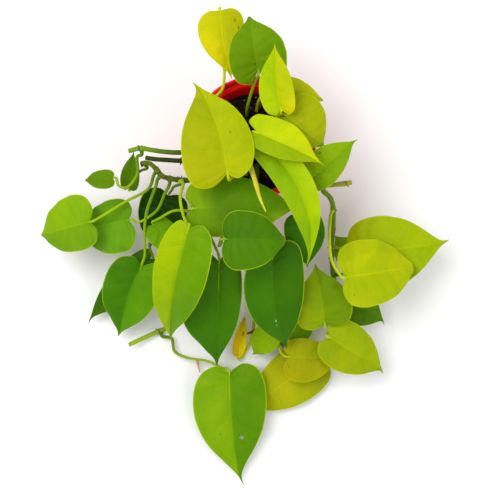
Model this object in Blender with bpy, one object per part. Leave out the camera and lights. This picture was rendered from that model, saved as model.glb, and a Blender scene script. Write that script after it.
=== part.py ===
"""A pothos in a tapered nursery pot, with vines that trail over the rim to the ground.

Metres, +Z up. The origin is the middle of the pot's flat base. The table values are in millimetres.
"""

import math

import bmesh
import bpy
from mathutils import Vector

MM = 0.001

# Pot
POT_HEIGHT = 95.0
RIM_RADIUS = 55.0
BASE_RADIUS = 38.0
WALL = 1.6
SHOULDER_RADIUS = 49.3  # outside of the tapered wall, where the collar steps out
SHOULDER_HEIGHT = 84.5
INSIDE_TOP = 85.4  # the tapered inside runs between these two heights
INSIDE_FOOT = 3.0
FLOOR = 2.0
POT_SIDES = 40
HOLE_RADIUS = 4.0
HOLE_RING = 28.0
HOLE_COUNT = 8
HOLE_SIDES = 12
HOLE_CUT = 8.0

# Soil
SOIL_TOP = 70.0
SOIL_FOOT = 4.0
SOIL_GAP = 0.4
SOIL_SIDES = 32

# Plant
GAP = 0.35  # clear space between one plant part and the next
VINE_RADIUS = 2.3
VINE_TAPER = 0.12
VINE_SIDES = 7
NODE_SWELL = 1.22  # how much a vine swells where a stalk leaves it
NODE_REACH = 0.03  # how far to each side, as a share of the vine
PETIOLE_RADIUS = 1.25
PETIOLE_SIDES = 5
STALK_RISE = 3.0  # how far a stalk runs straight out before it bends
STALK_END = 0.07  # where it ends inside the blade, as a share of the midrib
SLENDER_SIDES = 6
PATH_STEPS = 2  # points from one waypoint to the next
BLADE_THICKNESS = 0.8

# Half of a heart-shaped blade: (along the midrib, across) of the margin, and the midrib station its row
# starts from. The margin runs from the notch at the leaf stalk round the lobe to the drip tip.
MARGIN = (
    (-0.050, 0.20, 0.020),
    (-0.070, 0.45, 0.045),
    (-0.015, 0.78, 0.090),
    (0.115, 0.97, 0.170),
    (0.300, 1.00, 0.290),
    (0.500, 0.87, 0.460),
    (0.660, 0.63, 0.620),
    (0.790, 0.33, 0.770),
    (0.900, 0.09, 0.890),
)
LOBE_REACH = 0.07
LOBE_LENGTH = 0.35  # the share of the midrib beside which the lobes lie
CUP = 0.16  # how much the margin curves back down
RIPPLE = 0.035
RIPPLE_RATE = 9

# The vines: waypoints. All start on the soil and pass over the rim, but for vine_right_low, which
# branches off vine_right outside the rim.
VINES = {
    "vine_left": ((-24, -6, 70.4), (-25, -6, 78), (-38, -10, 95), (-53, -14, 99), (-66, -15, 97.5),
                  (-79, -14, 96), (-90, -12, 94), (-101, -10, 92), (-111, -12, 90)),
    "vine_left_low": ((-20, -16, 70.4), (-21, -17, 78), (-34, -28, 94), (-45, -36, 99), (-55, -39, 96),
                      (-66, -38, 90), (-81, -33, 80), (-87, -26, 74), (-94, -19, 70), (-102, -18, 66)),
    "vine_front_left": ((-9, -22, 70.4), (-10, -24, 78), (-24, -38, 94), (-33, -48, 99), (-41, -60, 93),
                        (-52, -78, 60), (-62, -98, 26), (-70, -122, 7), (-76, -145, 4), (-82, -161, 4.5),
                        (-92, -166, 6), (-104, -172, 9), (-116, -178, 13)),
    "vine_front": ((2, -22, 70.4), (2, -24, 78), (1, -42, 95), (0, -53, 99), (-1, -63, 93),
                   (-2, -78, 62), (0, -98, 26), (4, -120, 6), (6, -140, 3), (12, -158, 2.8),
                   (26, -176, 2.8), (44, -190, 2.8), (66, -200, 2.8)),
    "vine_right": ((18, -14, 70.4), (19, -15, 78), (31, -27, 94), (43, -38, 98.3), (52, -44, 97.5),
                   (60, -44, 96), (73, -43, 95), (85, -41, 94)),
    "vine_right_low": ((60, -46.8, 94), (61, -49, 92.2), (67, -54, 87), (70, -62, 76), (71, -76, 56),
                       (71, -90, 34), (73, -106, 12), (76, -120, 3.6), (79, -136, 2.8), (84, -152, 2.8),
                       (92, -168, 2.8), (100, -186, 2.8)),
    "stem_cut": ((-29, -13, 70.4), (-30, -13, 79), (-41, -18, 95), (-53, -22, 98.6), (-65, -22, 96),
                 (-78, -20.5, 92.5), (-88, -19.5, 91), (-96, -18, 90)),
}
# The way a vine sets off where it doesn't rise straight out of the soil.
SET_OFF = {"vine_right_low": (0, -0.8, -0.6)}

# The leaves: stalk joint, tip, half width right and left of the midrib seen from above (joint to tip), roll,
# fold of the two halves, arch of the midrib, its sideways sweep, reach of the lobes, then the vine and the
# place along it (0 to 1), or "soil" and the place on it, and the points the stalk passes on its way.
LEAVES = {
    "leaf_01": ((-30, 108, 114), (-20, 49, 106), 21, 20, 0, 8, 6, 2, 0.02, "soil", (-30, 16),
                ((-31, 18, 86), (-38, 30, 99), (-28, 43, 99), (-27, 66, 101), (-30, 92, 107))),
    "leaf_02": ((3, 52, 122), (-5, 98, 130), 27, 24, 4, 8, 4, 0, 0.22, "soil", (-7, 26),
                ((-6, 30, 88), (-1, 42, 108))),
    "leaf_03": ((22, 14, 138), (17, 67, 152), 15, 17, 0, 24, 3, -2, 0.10, "soil", (8, 14),
                ((9, 13, 90), (17, 10, 118))),
    "leaf_04": ((15, 39, 112), (60, 29, 109), 18, 13, 0, 6, 5, 0, 0.08, "soil", (2, 30),
                ((4, 34, 90), (10, 40, 104))),
    "leaf_05": ((-23, -44, 148), (-50, 33, 154), 26, 36, 3, 5, 5, 5, 0.08, "soil", (-7, -30),
                ((-8, -33, 90), (-14, -35, 118), (-21, -47, 136))),
    "leaf_06": ((3, -9, 145), (62, -35, 128), 14, 19, -5, 10, 6, 0, 0.16, "soil", (-2, -4),
                ((-3, -4, 92), (-5, -6, 122), (-3, -7, 138))),
    "leaf_07": ((11, -19, 130), (46, -118, 106), 17, 16, 6, 22, 6, -15, 0.12, "soil", (6, -12),
                ((6, -13, 92), (6, -14, 116))),
    "leaf_08": ((27, 10, 127), (60, -14, 113), 20, 28, 0, 8, 5, 0, 0.12, "soil", (16, 4),
                ((17, 5, 90), (21, 10, 115))),
    "leaf_09": ((49, -41, 107), (88, -7, 118), 16, 17, 0, 14, 4, 0, 0.08, "soil", (24, -8),
                ((25, -10, 84), (38, -28, 98.5))),
    "leaf_10": ((-52, -67, 113), (40, -66, 109), 25, 28, 2, 3, 4, 0, 0.08, "soil", (-15, -20),
                ((-16, -22, 80), (-29, -34, 95), (-39, -44, 101), (-51, -58, 106))),
    "leaf_11": ((-25, -96, 126), (26, -97, 122), 26, 25, 2, 4, 3, 0, 0.05, "soil", (-3, -32),
                ((-4, -36, 84), (-14, -56, 102), (-30, -96, 104), (-28, -97, 116))),
    "leaf_12": ((-56, -88, 130), (-75, -180, 46), 21, 29, 4, 20, 14, 3, 0.05, "vine_left_low", 0.52,
                ((-62, -44, 104), (-64, -58, 112), (-61, -74, 116), (-57, -83, 124))),
    "leaf_13": ((-103, -110, 48), (-125, -171, 12), 27, 27, 2, 12, 6, 2, 0.10, "vine_left_low", 0.70,
                ((-88, -42, 78), (-96, -62, 70), (-99, -80, 60), (-99, -98, 52))),
    "leaf_14": ((41, -72, 93), (47, -113, 68), 17, 19, 0, 8, 4, 0, 0.08, "vine_right", 0.57,
                ((44, -52, 92), (41, -64, 91))),
    "leaf_15": ((16, -105, 92), (31, -183, 38), 26, 29, 0, 12, 10, 7, 0.10, "vine_front", 0.40,
                ((4, -82, 70), (11, -97, 84))),
    "leaf_16": ((-31, -110, 84), (-34, -199, 30), 37, 21, -2, 12, 8, 0, 0.10, "vine_front_left", 0.40,
                ((-42, -82, 78), (-34, -98, 84))),
    "leaf_17": ((-23, -205, 23), (-12, -307, 5), 34, 34, 0, 8, 5, 3, 0.075, "vine_front_left", 0.80,
                ((-77, -172, 7), (-74, -184, 8), (-62, -190, 10), (-44, -193, 13), (-31, -199, 18))),
    "leaf_18": ((57, -192, 12), (-12, -242, 4.5), 25, 26, 0, 3, 3, 0, 0.08, "vine_front", 0.97,
                ((64, -196, 7.5), (63, -193, 9))),
    "leaf_19": ((32, -190, 30), (81, -191, 26), 23, 17, 4, 6, 3, 0, 0.10, "vine_front", 0.78,
                ((20, -170, 14), (24, -185, 25))),
    "leaf_20": ((68, -174, 48), (119, -203, 28), 23, 23, 0, 8, 4, 0, 0.10, "vine_right_low", 0.90,
                ((86, -164, 14), (72, -164, 30), (65, -171, 42))),
    "leaf_21": ((63, -161, 52), (54, -108, 62), 27, 26, 0, 12, 5, 0, 0.09, "vine_right_low", 0.78,
                ((74, -142, 14), (66, -158, 30), (64, -165, 46))),
    "leaf_22": ((81, -123, 80), (143, -112, 62), 29, 31, 0, 7, 4, 0, 0.09, "vine_right_low", 0.27,
                ((67, -70, 80), (66, -90, 82), (68, -108, 80), (74, -119, 79))),
    "leaf_23": ((93, -98, 46), (177, -88, 50), 35, 32, 3, 8, 6, 0, 0.08, "vine_right_low", 0.45,
                ((80, -92, 36), (87, -98, 42))),
    "leaf_24": ((81, -138, 30), (122, -156, 15), 18, 18, 0, 10, 3, 0, 0.08, "vine_right_low", 0.70,
                ((80, -134, 14), (78, -136, 25))),
    "leaf_25": ((92, -100, 24), (73, -78, 34), 14, 14, 0, 8, 3, 0, 0.08, "vine_right_low", 0.58,
                ((82, -112, 14), (92, -106, 19))),
    "leaf_26": ((-148, -71, 64), (-195, -81, 40), 28, 24, 0, 9, 5, 0, 0.09, "vine_left_low", 0.78,
                ((-96, -42, 66), (-116, -52, 61), (-138, -66, 62))),
    "leaf_27": ((-115, -67, 50), (-162, -75, 28), 22, 29, 0, 9, 4, 0, 0.10, "vine_left_low", 0.62,
                ((-80, -48, 76), (-88, -60, 60), (-104, -69, 51))),
    "leaf_28": ((-126, -35, 84), (-151, -36, 78), 8, 10, 0, 14, 2, 0, 0.08, "vine_left", 0.86,
                ((-104, -17, 87), (-104, -30, 80), (-112, -42, 80), (-120, -42, 83))),
    "leaf_29": ((-113, -39, 62), (-108, -8, 74), 9, 9, 0, 16, 3, 0, 0.09, "vine_left_low", 0.96,
                ((-105, -24, 56), (-111, -38, 58))),
    "leaf_30": ((-79, -44, 44), (-97, -88, 20), 23, 23, 0, 10, 4, 0, 0.08, "vine_left_low", 0.56,
                ((-72, -40, 70), (-75, -40, 54))),
    "leaf_31": ((-90, -73, 58), (-62, -102, 46), 14, 13, 0, 10, 3, 0, 0.08, "vine_front_left", 0.38,
                ((-56, -64, 76), (-72, -62, 70), (-86, -68, 62))),
    "leaf_32": ((16, -166, 30), (-1, -188, 10), 13, 13, 0, 12, 3, 0, 0.08, "vine_front", 0.70,
                ((10, -150, 14), (14, -162, 24))),
    "leaf_33": ((38, -159, 26), (48, -177, 14), 14, 14, 0, 10, 2, 0, 0.08, "vine_front", 0.74,
                ((22, -150, 10), (33, -152, 19))),
    "leaf_34": ((-96, -101, 33), (-157, -156, 8), 15, 17, 0, 14, 6, 0, 0.08, "vine_front_left", 0.46,
                ((-72, -84, 46), (-86, -82, 47), (-96, -88, 43))),
    "leaf_35": ((-15, -187, 9), (-8, -148, 16), 6, 7, 0, 22, 2, 0, 0.05, "vine_front", 0.66,
                ((0, -150, 5), (-3, -172, 4), (-12, -190, 5))),
}
# Rounder blades, whose drip tip is small: how full the margin stays toward the tip.
FULL = {"leaf_02": 0.75, "leaf_04": 0.7, "leaf_06": 1.6, "leaf_08": 0.8, "leaf_10": 0.85, "leaf_11": 0.5,
        "leaf_12": 1.35, "leaf_17": 1.2, "leaf_22": 0.55, "leaf_26": 0.75, "leaf_27": 0.75, "leaf_28": 0.7}

# Slender pieces with no blade: waypoints, then the radius at the start, at the end and in the middle.
SLENDER = {
    "shoot": (((-3, -12, 70.4), (-3, -14, 80), (-4, -20, 108), (-4, -32, 128), (0, -48, 140), (4, -64, 147),
               (9, -76, 148)), 1.6, 0.5, 2.3),
    "root_aerial": (((-52.5, -194.5, 8.6), (-52, -198, 6.6), (-51, -203, 3.4)), 1.1, 0.5, 1.1),
    "stem_dry": (((7.5, -161, 4), (2, -164, 6), (-8, -168, 8)), 1.4, 0.9, 1.4),
}

COLOURS = {
    "pot": (0.52, 0.004, 0.006, 1.0),
    "soil": (0.018, 0.012, 0.009, 1.0),
    "vine": (0.10, 0.20, 0.02, 1.0),
    "yellow": (0.46, 0.52, 0.01, 1.0),
    "lime": (0.34, 0.55, 0.02, 1.0),
    "green": (0.13, 0.34, 0.01, 1.0),
    "dark": (0.035, 0.16, 0.008, 1.0),
    "brown": (0.20, 0.07, 0.02, 1.0),
}
# The numbers of the leaves in each tint; the others are green.
TINTS = {
    "yellow": (1, 4, 5, 18, 19, 20, 22, 23),
    "lime": (3, 6, 7, 8, 12, 21),
    "dark": (13, 14, 15, 16, 24, 25, 30, 33, 34),
    "brown": (35,),
}


def clear_scene():
    for item in list(bpy.data.objects):
        bpy.data.objects.remove(item, do_unlink=True)


def material(name, colour, roughness):
    """A plain finish of its own for one part."""
    finish = bpy.data.materials.new(name)
    finish.use_nodes = True
    shader = finish.node_tree.nodes["Principled BSDF"]
    shader.inputs["Base Color"].default_value = colour
    shader.inputs["Roughness"].default_value = roughness
    return finish


def object_from(bm, name, colour=None, roughness=0.45):
    """A scene object from a bmesh in millimetres."""
    bmesh.ops.recalc_face_normals(bm, faces=bm.faces[:])
    if bm.calc_volume(signed=True) < 0:
        bmesh.ops.reverse_faces(bm, faces=bm.faces[:])
    for vertex in bm.verts:
        vertex.co *= MM
    mesh = bpy.data.meshes.new(name)
    bm.to_mesh(mesh)
    bm.free()
    item = bpy.data.objects.new(name, mesh)
    bpy.context.scene.collection.objects.link(item)
    if colour:
        mesh.materials.append(material(name, colour, roughness))
    return item


def combine(target, tool, operation):
    """Applies one exact Boolean and drops the tool."""
    modifier = target.modifiers.new("combine", "BOOLEAN")
    modifier.operation = operation
    modifier.solver = "EXACT"
    modifier.object = tool
    bpy.context.view_layer.update()
    result = bpy.data.meshes.new_from_object(target.evaluated_get(bpy.context.evaluated_depsgraph_get()))
    target.modifiers.clear()
    old = target.data
    target.data = result
    bpy.data.meshes.remove(old)
    bpy.data.objects.remove(tool, do_unlink=True)


def smooth_path(points, steps):
    """Catmull-Rom points through the waypoints, with the waypoint position (0 to 1) of each."""
    points = [Vector(p) for p in points]
    ends = [points[0] * 2 - points[1]] + points + [points[-1] * 2 - points[-2]]
    path, place = [], []
    last = len(points) - 1
    for i in range(last):
        p0, p1, p2, p3 = ends[i:i + 4]
        for k in range(steps):
            t = k / steps
            path.append(0.5 * (2 * p1 + (p2 - p0) * t + (2 * p0 - 5 * p1 + 4 * p2 - p3) * t * t
                               + (3 * p1 - p0 - 3 * p2 + p3) * t ** 3))
            place.append((i + t) / last)
    return path + [points[-1]], place + [1.0]


def tube(path, radii, sides, heading):
    """A closed round tube along a path, its rings carried along without twist, the first square to heading."""
    bm = bmesh.new()
    rings = []
    across = None
    for i, centre in enumerate(path):
        along = (path[min(i + 1, len(path) - 1)] - path[max(i - 1, 0)]).normalized()
        if i == 0:
            along = Vector(heading).normalized()
        if across is None:
            across = along.orthogonal().normalized()
        across = (across - along * across.dot(along)).normalized()
        other = along.cross(across)
        rings.append([
            bm.verts.new(centre + (across * math.cos(a) + other * math.sin(a)) * radii[i])
            for a in (2 * math.pi * k / sides for k in range(sides))
        ])
    for low, high in zip(rings, rings[1:]):
        for k in range(sides):
            n = (k + 1) % sides
            bm.faces.new((low[k], low[n], high[n], high[k]))
    bm.faces.new(rings[0][::-1])
    bm.faces.new(rings[-1])
    return bm


def lathe(profile, sides):
    """A solid of revolution from (radius, height) points; a radius of 0 is a point on the axis."""
    bm = bmesh.new()
    rings = []
    for radius, height in profile:
        if radius == 0:
            rings.append([bm.verts.new((0, 0, height))])
        else:
            rings.append([
                bm.verts.new((radius * math.cos(a), radius * math.sin(a), height))
                for a in (2 * math.pi * k / sides for k in range(sides))
            ])
    for low, high in zip(rings, rings[1:]):
        for k in range(sides):
            n = (k + 1) % sides
            corners = [low[k % len(low)], low[n % len(low)], high[n % len(high)], high[k % len(high)]]
            bm.faces.new(list(dict.fromkeys(corners)))
    return bm


def make_pot():
    """Thin tapered wall, a stepped-out collar with a beaded lip, a flat base with drain holes."""
    profile = (
        (0, 0), (BASE_RADIUS - 1, 0), (BASE_RADIUS, 1), (SHOULDER_RADIUS, SHOULDER_HEIGHT), (52.6, 86.2),
        (53.6, 87.4), (54.2, 92.8),
        (RIM_RADIUS, 93.3), (RIM_RADIUS, 94.5), (RIM_RADIUS - 0.6, POT_HEIGHT), (53.0, POT_HEIGHT),
        (52.4, 94.4), (52.0, 88.4), (51.0, 87.2), (SHOULDER_RADIUS - WALL, INSIDE_TOP),
        (BASE_RADIUS - WALL, INSIDE_FOOT), (BASE_RADIUS - WALL - 1, FLOOR), (0, FLOOR),
    )
    pot = object_from(lathe(profile, POT_SIDES), "pot", COLOURS["pot"], 0.3)
    for k in range(HOLE_COUNT):
        angle = 2 * math.pi * (k + 0.5) / HOLE_COUNT
        hole = bmesh.new()
        bmesh.ops.create_cone(
            hole, cap_ends=True, segments=HOLE_SIDES, radius1=HOLE_RADIUS, radius2=HOLE_RADIUS, depth=HOLE_CUT)
        bmesh.ops.translate(
            hole, verts=hole.verts[:], vec=(HOLE_RING * math.cos(angle), HOLE_RING * math.sin(angle), 1))
        combine(pot, object_from(hole, "hole"), "DIFFERENCE")


def inner_radius(height):
    """Radius of the pot's inside at a height on its tapered wall."""
    low, high = BASE_RADIUS - WALL, SHOULDER_RADIUS - WALL
    return low + (high - low) * (height - INSIDE_FOOT) / (INSIDE_TOP - INSIDE_FOOT)


def make_soil():
    """The root ball: a solid plug, its top level."""
    rim = inner_radius(SOIL_TOP) - SOIL_GAP
    foot = inner_radius(SOIL_FOOT) - SOIL_GAP - 0.6
    profile = ((0, FLOOR + SOIL_GAP), (foot - 1, FLOOR + SOIL_GAP), (foot, SOIL_FOOT), (rim, SOIL_TOP - 1.0),
               (rim - 1.2, SOIL_TOP), (0, SOIL_TOP))
    object_from(lathe(profile, SOIL_SIDES), "soil", COLOURS["soil"], 0.95)


def vine_course(name):
    """A vine's smooth path with the radius at each point: it tapers, and swells at its nodes."""
    path, place = smooth_path(VINES[name], PATH_STEPS)
    joints = [leaf[10] for leaf in LEAVES.values() if leaf[9] == name]
    radii = []
    for spot in place:
        near = max((1 - abs(spot - joint) / NODE_REACH for joint in joints), default=0)
        radii.append(VINE_RADIUS * (1 - VINE_TAPER * spot) * (1 + (NODE_SWELL - 1) * max(near, 0)))
    return path, place, radii


def stalk_start(vine, spot, toward):
    """Point just off a vine's surface on the side of the stalk's next point, and the way out from it."""
    path, place, radii = vine_course(vine)
    i = max(j for j, p in enumerate(place) if p <= spot)
    i = min(i, len(path) - 2)
    share = (spot - place[i]) / (place[i + 1] - place[i])
    centre = path[i].lerp(path[i + 1], share)
    along = (path[i + 1] - path[i]).normalized()
    away = Vector(toward) - centre
    away = (away - along * away.dot(along)).normalized()
    return centre + away * (VINE_RADIUS * NODE_SWELL + GAP), away


class Blade:
    """The curved surface of one leaf blade."""

    def __init__(self, base, tip, right, left, roll, fold, arch, sweep, lobes, full=1.0):
        self.base, self.tip = Vector(base), Vector(tip)
        self.along = (self.tip - self.base).normalized()
        self.length = (self.tip - self.base).length
        up = Vector((0, 0, 1))
        up = (up - self.along * up.dot(self.along)).normalized()
        side = self.along.cross(up)
        turn = math.radians(roll)
        self.normal = up * math.cos(turn) + side * math.sin(turn)
        self.side = side * math.cos(turn) - up * math.sin(turn)
        self.half = {1: right, -1: left}
        self.fold, self.arch, self.sweep, self.lobes = math.radians(fold), arch, sweep, lobes
        self.full = full

    def midrib(self, x):
        bow = 4 * x * (1 - x)
        bend = self.normal * self.arch + self.side * self.sweep
        return self.base + self.along * self.length * x + bend * bow

    def point(self, row, share, hand):
        """Point on one half (hand 1 right, -1 left), share 0 at the midrib to 1 at the margin."""
        x, across, station = row
        if x > 0.3:
            across = across ** self.full
        beside = max(0.0, 1 - max(x, 0) / LOBE_LENGTH) ** 2
        back = (self.lobes - LOBE_REACH) * min(1.0, across / 0.3) * beside
        x = station + (x - back - station) * share
        across *= share
        width = self.half[hand]
        lift = width * (math.sin(self.fold) * across - CUP * across * across)
        lift += RIPPLE * width * across * math.sin(RIPPLE_RATE * x + 2 * hand)
        return self.midrib(x) + self.side * hand * width * math.cos(self.fold) * across + self.normal * lift


def make_leaf(name, spec, tint):
    base, tip, right, left, roll, fold, arch, sweep, lobes, host, spot, via = spec
    blade = Blade(base, tip, right, left, roll, fold, arch, sweep, lobes, FULL.get(name, 1.0))
    bm = bmesh.new()
    layers = []
    for sign in (0.5, -0.5):
        shift = blade.normal * BLADE_THICKNESS * sign
        spine = [bm.verts.new(blade.midrib(x) + shift) for x in (0, *(row[2] for row in MARGIN), 1)]
        halves = {}
        for hand in (1, -1):
            halves[hand] = [[bm.verts.new(blade.point(row, share, hand) + shift) for row in MARGIN]
                            for share in (0.5, 1.0)]
        layers.append((spine, halves))
    for spine, halves in layers:
        for columns in halves.values():
            lines = [spine[1:-1], *columns]
            for a, b in zip(lines, lines[1:]):
                for k in range(len(MARGIN) - 1):
                    bm.faces.new((a[k], a[k + 1], b[k + 1], b[k]))
                bm.faces.new((spine[0], a[0], b[0]))
                bm.faces.new((spine[-1], a[-1], b[-1]))
    for hand in (1, -1):
        top = [layers[0][0][0], *layers[0][1][hand][1], layers[0][0][-1]]
        low = [layers[1][0][0], *layers[1][1][hand][1], layers[1][0][-1]]
        for k in range(len(top) - 1):
            bm.faces.new((top[k], top[k + 1], low[k + 1], low[k]))
    leaf = object_from(bm, name)
    if host == "soil":
        start, away = Vector((*spot, SOIL_TOP + GAP)), Vector((0, 0, 1))
    else:
        start, away = stalk_start(host, spot, via[0])
    end = blade.midrib(STALK_END)
    joint = blade.midrib(0.0) - blade.along * 3 - blade.normal * 1.5
    points = [start, start + away * STALK_RISE, *via, joint, end]
    path, place = smooth_path(points, PATH_STEPS)
    radii = [PETIOLE_RADIUS * (1.25 - 0.3 * p) for p in place]
    combine(leaf, object_from(tube(path, radii, PETIOLE_SIDES, away), "stalk"), "UNION")
    leaf.data.materials.append(material(name, COLOURS[tint], 0.4))


def make_vine(name):
    path, _, radii = vine_course(name)
    heading = SET_OFF.get(name, (0, 0, 1))
    object_from(tube(path, radii, VINE_SIDES, heading), name, COLOURS["vine"], 0.5)


def make_slender(name):
    """A rolled new leaf, a root or a dry stem, thickest or thinnest in its middle."""
    points, first, last, middle = SLENDER[name]
    path, place = smooth_path(points, PATH_STEPS)
    radii = [first + (last - first) * p + (middle - (first + last) / 2) * 4 * p * (1 - p) for p in place]
    heading = (0, 0, 1) if name == "shoot" else Vector(points[1]) - Vector(points[0])
    colour = COLOURS["yellow" if name == "shoot" else "brown"]
    object_from(tube(path, radii, SLENDER_SIDES, heading), name, colour, 0.5)


def tint_of(number):
    for tint, numbers in TINTS.items():
        if number in numbers:
            return tint
    return "green"


def main():
    clear_scene()
    make_pot()
    make_soil()
    for name in VINES:
        make_vine(name)
    for number, (name, spec) in enumerate(LEAVES.items(), 1):
        make_leaf(name, spec, tint_of(number))
    for name in SLENDER:
        make_slender(name)


main()
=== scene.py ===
"""Looks of a pothos in a red nursery pot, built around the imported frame.

Lengths are in millimetres until a mesh is written, which is in metres. +Z is up, and the origin is the middle
of the pot's base.
"""

import logging
import math
from dataclasses import dataclass, field
from enum import Enum
from typing import Any, Iterable, Optional, Sequence, Union

import bpy
import bmesh
import numpy as np
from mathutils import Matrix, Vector, noise

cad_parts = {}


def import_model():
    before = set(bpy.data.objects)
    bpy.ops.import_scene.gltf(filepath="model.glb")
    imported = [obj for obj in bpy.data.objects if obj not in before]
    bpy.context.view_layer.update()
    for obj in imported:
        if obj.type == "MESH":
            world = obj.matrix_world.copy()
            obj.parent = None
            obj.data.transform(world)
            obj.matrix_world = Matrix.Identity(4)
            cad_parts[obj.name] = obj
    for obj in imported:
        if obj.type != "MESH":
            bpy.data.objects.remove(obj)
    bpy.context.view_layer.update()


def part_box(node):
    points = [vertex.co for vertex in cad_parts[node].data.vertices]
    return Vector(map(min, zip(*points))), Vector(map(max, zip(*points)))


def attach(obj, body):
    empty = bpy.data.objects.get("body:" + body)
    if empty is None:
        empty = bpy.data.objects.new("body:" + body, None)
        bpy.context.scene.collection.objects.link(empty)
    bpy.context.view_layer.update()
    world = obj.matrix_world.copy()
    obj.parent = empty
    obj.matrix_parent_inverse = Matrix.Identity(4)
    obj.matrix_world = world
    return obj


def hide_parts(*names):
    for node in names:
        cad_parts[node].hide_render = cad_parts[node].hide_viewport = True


LOG = logging.getLogger("pothos")
MM = 0.001
VEINS = 9.0  # side veins on each half of a blade
VEIN_SWEEP = 0.9  # how far a side vein leans toward the tip, in vein spacings
GREEN_SHEEN = (0.9, 1.0, 0.4, 1.0)
FLOOR_GAP = 0.05  # the floor lies this far under the plant
Point = tuple[float, float, float]
Colour = tuple[float, float, float]


class Tone(Enum):
    """The record's leaf slots."""

    YELLOW = "leaf_yellow"
    LIME = "leaf_lime"
    GREEN = "leaf_green"
    DARK = "leaf_dark"
    WITHERED = "leaf_withered"


class Layout(Enum):
    """Names of the coordinate layers that the finishes read."""

    RUN = "run"
    SIDE = "side"


# Shader maths


class Wire:
    """A shader value that takes part in Python expressions."""

    def __init__(self, graph: "Graph", socket: bpy.types.NodeSocket) -> None:
        """Wraps one output socket of a graph."""
        self.graph = graph
        self.socket = socket

    def _math(self, operation: str, first: "Operand", second: "Operand" = 0.0) -> "Wire":
        """Adds one Math node.

        Args:
            operation: the Math node's operation.
            first: its first value.
            second: its second value.

        Returns:
            The node's result.
        """
        return self.graph.node("ShaderNodeMath", {"operation": operation}, {0: first, 1: second})

    def __add__(self, other: "Operand") -> "Wire":
        """Sum."""
        return self._math("ADD", self, other)

    def __radd__(self, other: float) -> "Wire":
        """Sum, reflected."""
        return self._math("ADD", other, self)

    def __sub__(self, other: "Operand") -> "Wire":
        """Difference."""
        return self._math("SUBTRACT", self, other)

    def __rsub__(self, other: float) -> "Wire":
        """Difference, reflected."""
        return self._math("SUBTRACT", other, self)

    def __mul__(self, other: "Operand") -> "Wire":
        """Product."""
        return self._math("MULTIPLY", self, other)

    def __rmul__(self, other: float) -> "Wire":
        """Product, reflected."""
        return self._math("MULTIPLY", other, self)

    def __abs__(self) -> "Wire":
        """Absolute value."""
        return self._math("ABSOLUTE", self)

    def fraction(self) -> "Wire":
        """The part after the decimal point."""
        return self._math("FRACT", self)

    def root(self) -> "Wire":
        """Square root."""
        return self._math("SQRT", self)

    def rise(self, low: float, high: float, start: float = 0.0, end: float = 1.0) -> "Wire":
        """Smooth step between two limits.

        Args:
            low: value where the step starts.
            high: value where it ends.
            start: result below low.
            end: result above high.

        Returns:
            The smoothed value.
        """
        return self.graph.node(
            "ShaderNodeMapRange", {"interpolation_type": "SMOOTHSTEP"},
            {"Value": self, "From Min": low, "From Max": high, "To Min": start, "To Max": end})


Operand = Union[Wire, float]


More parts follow.
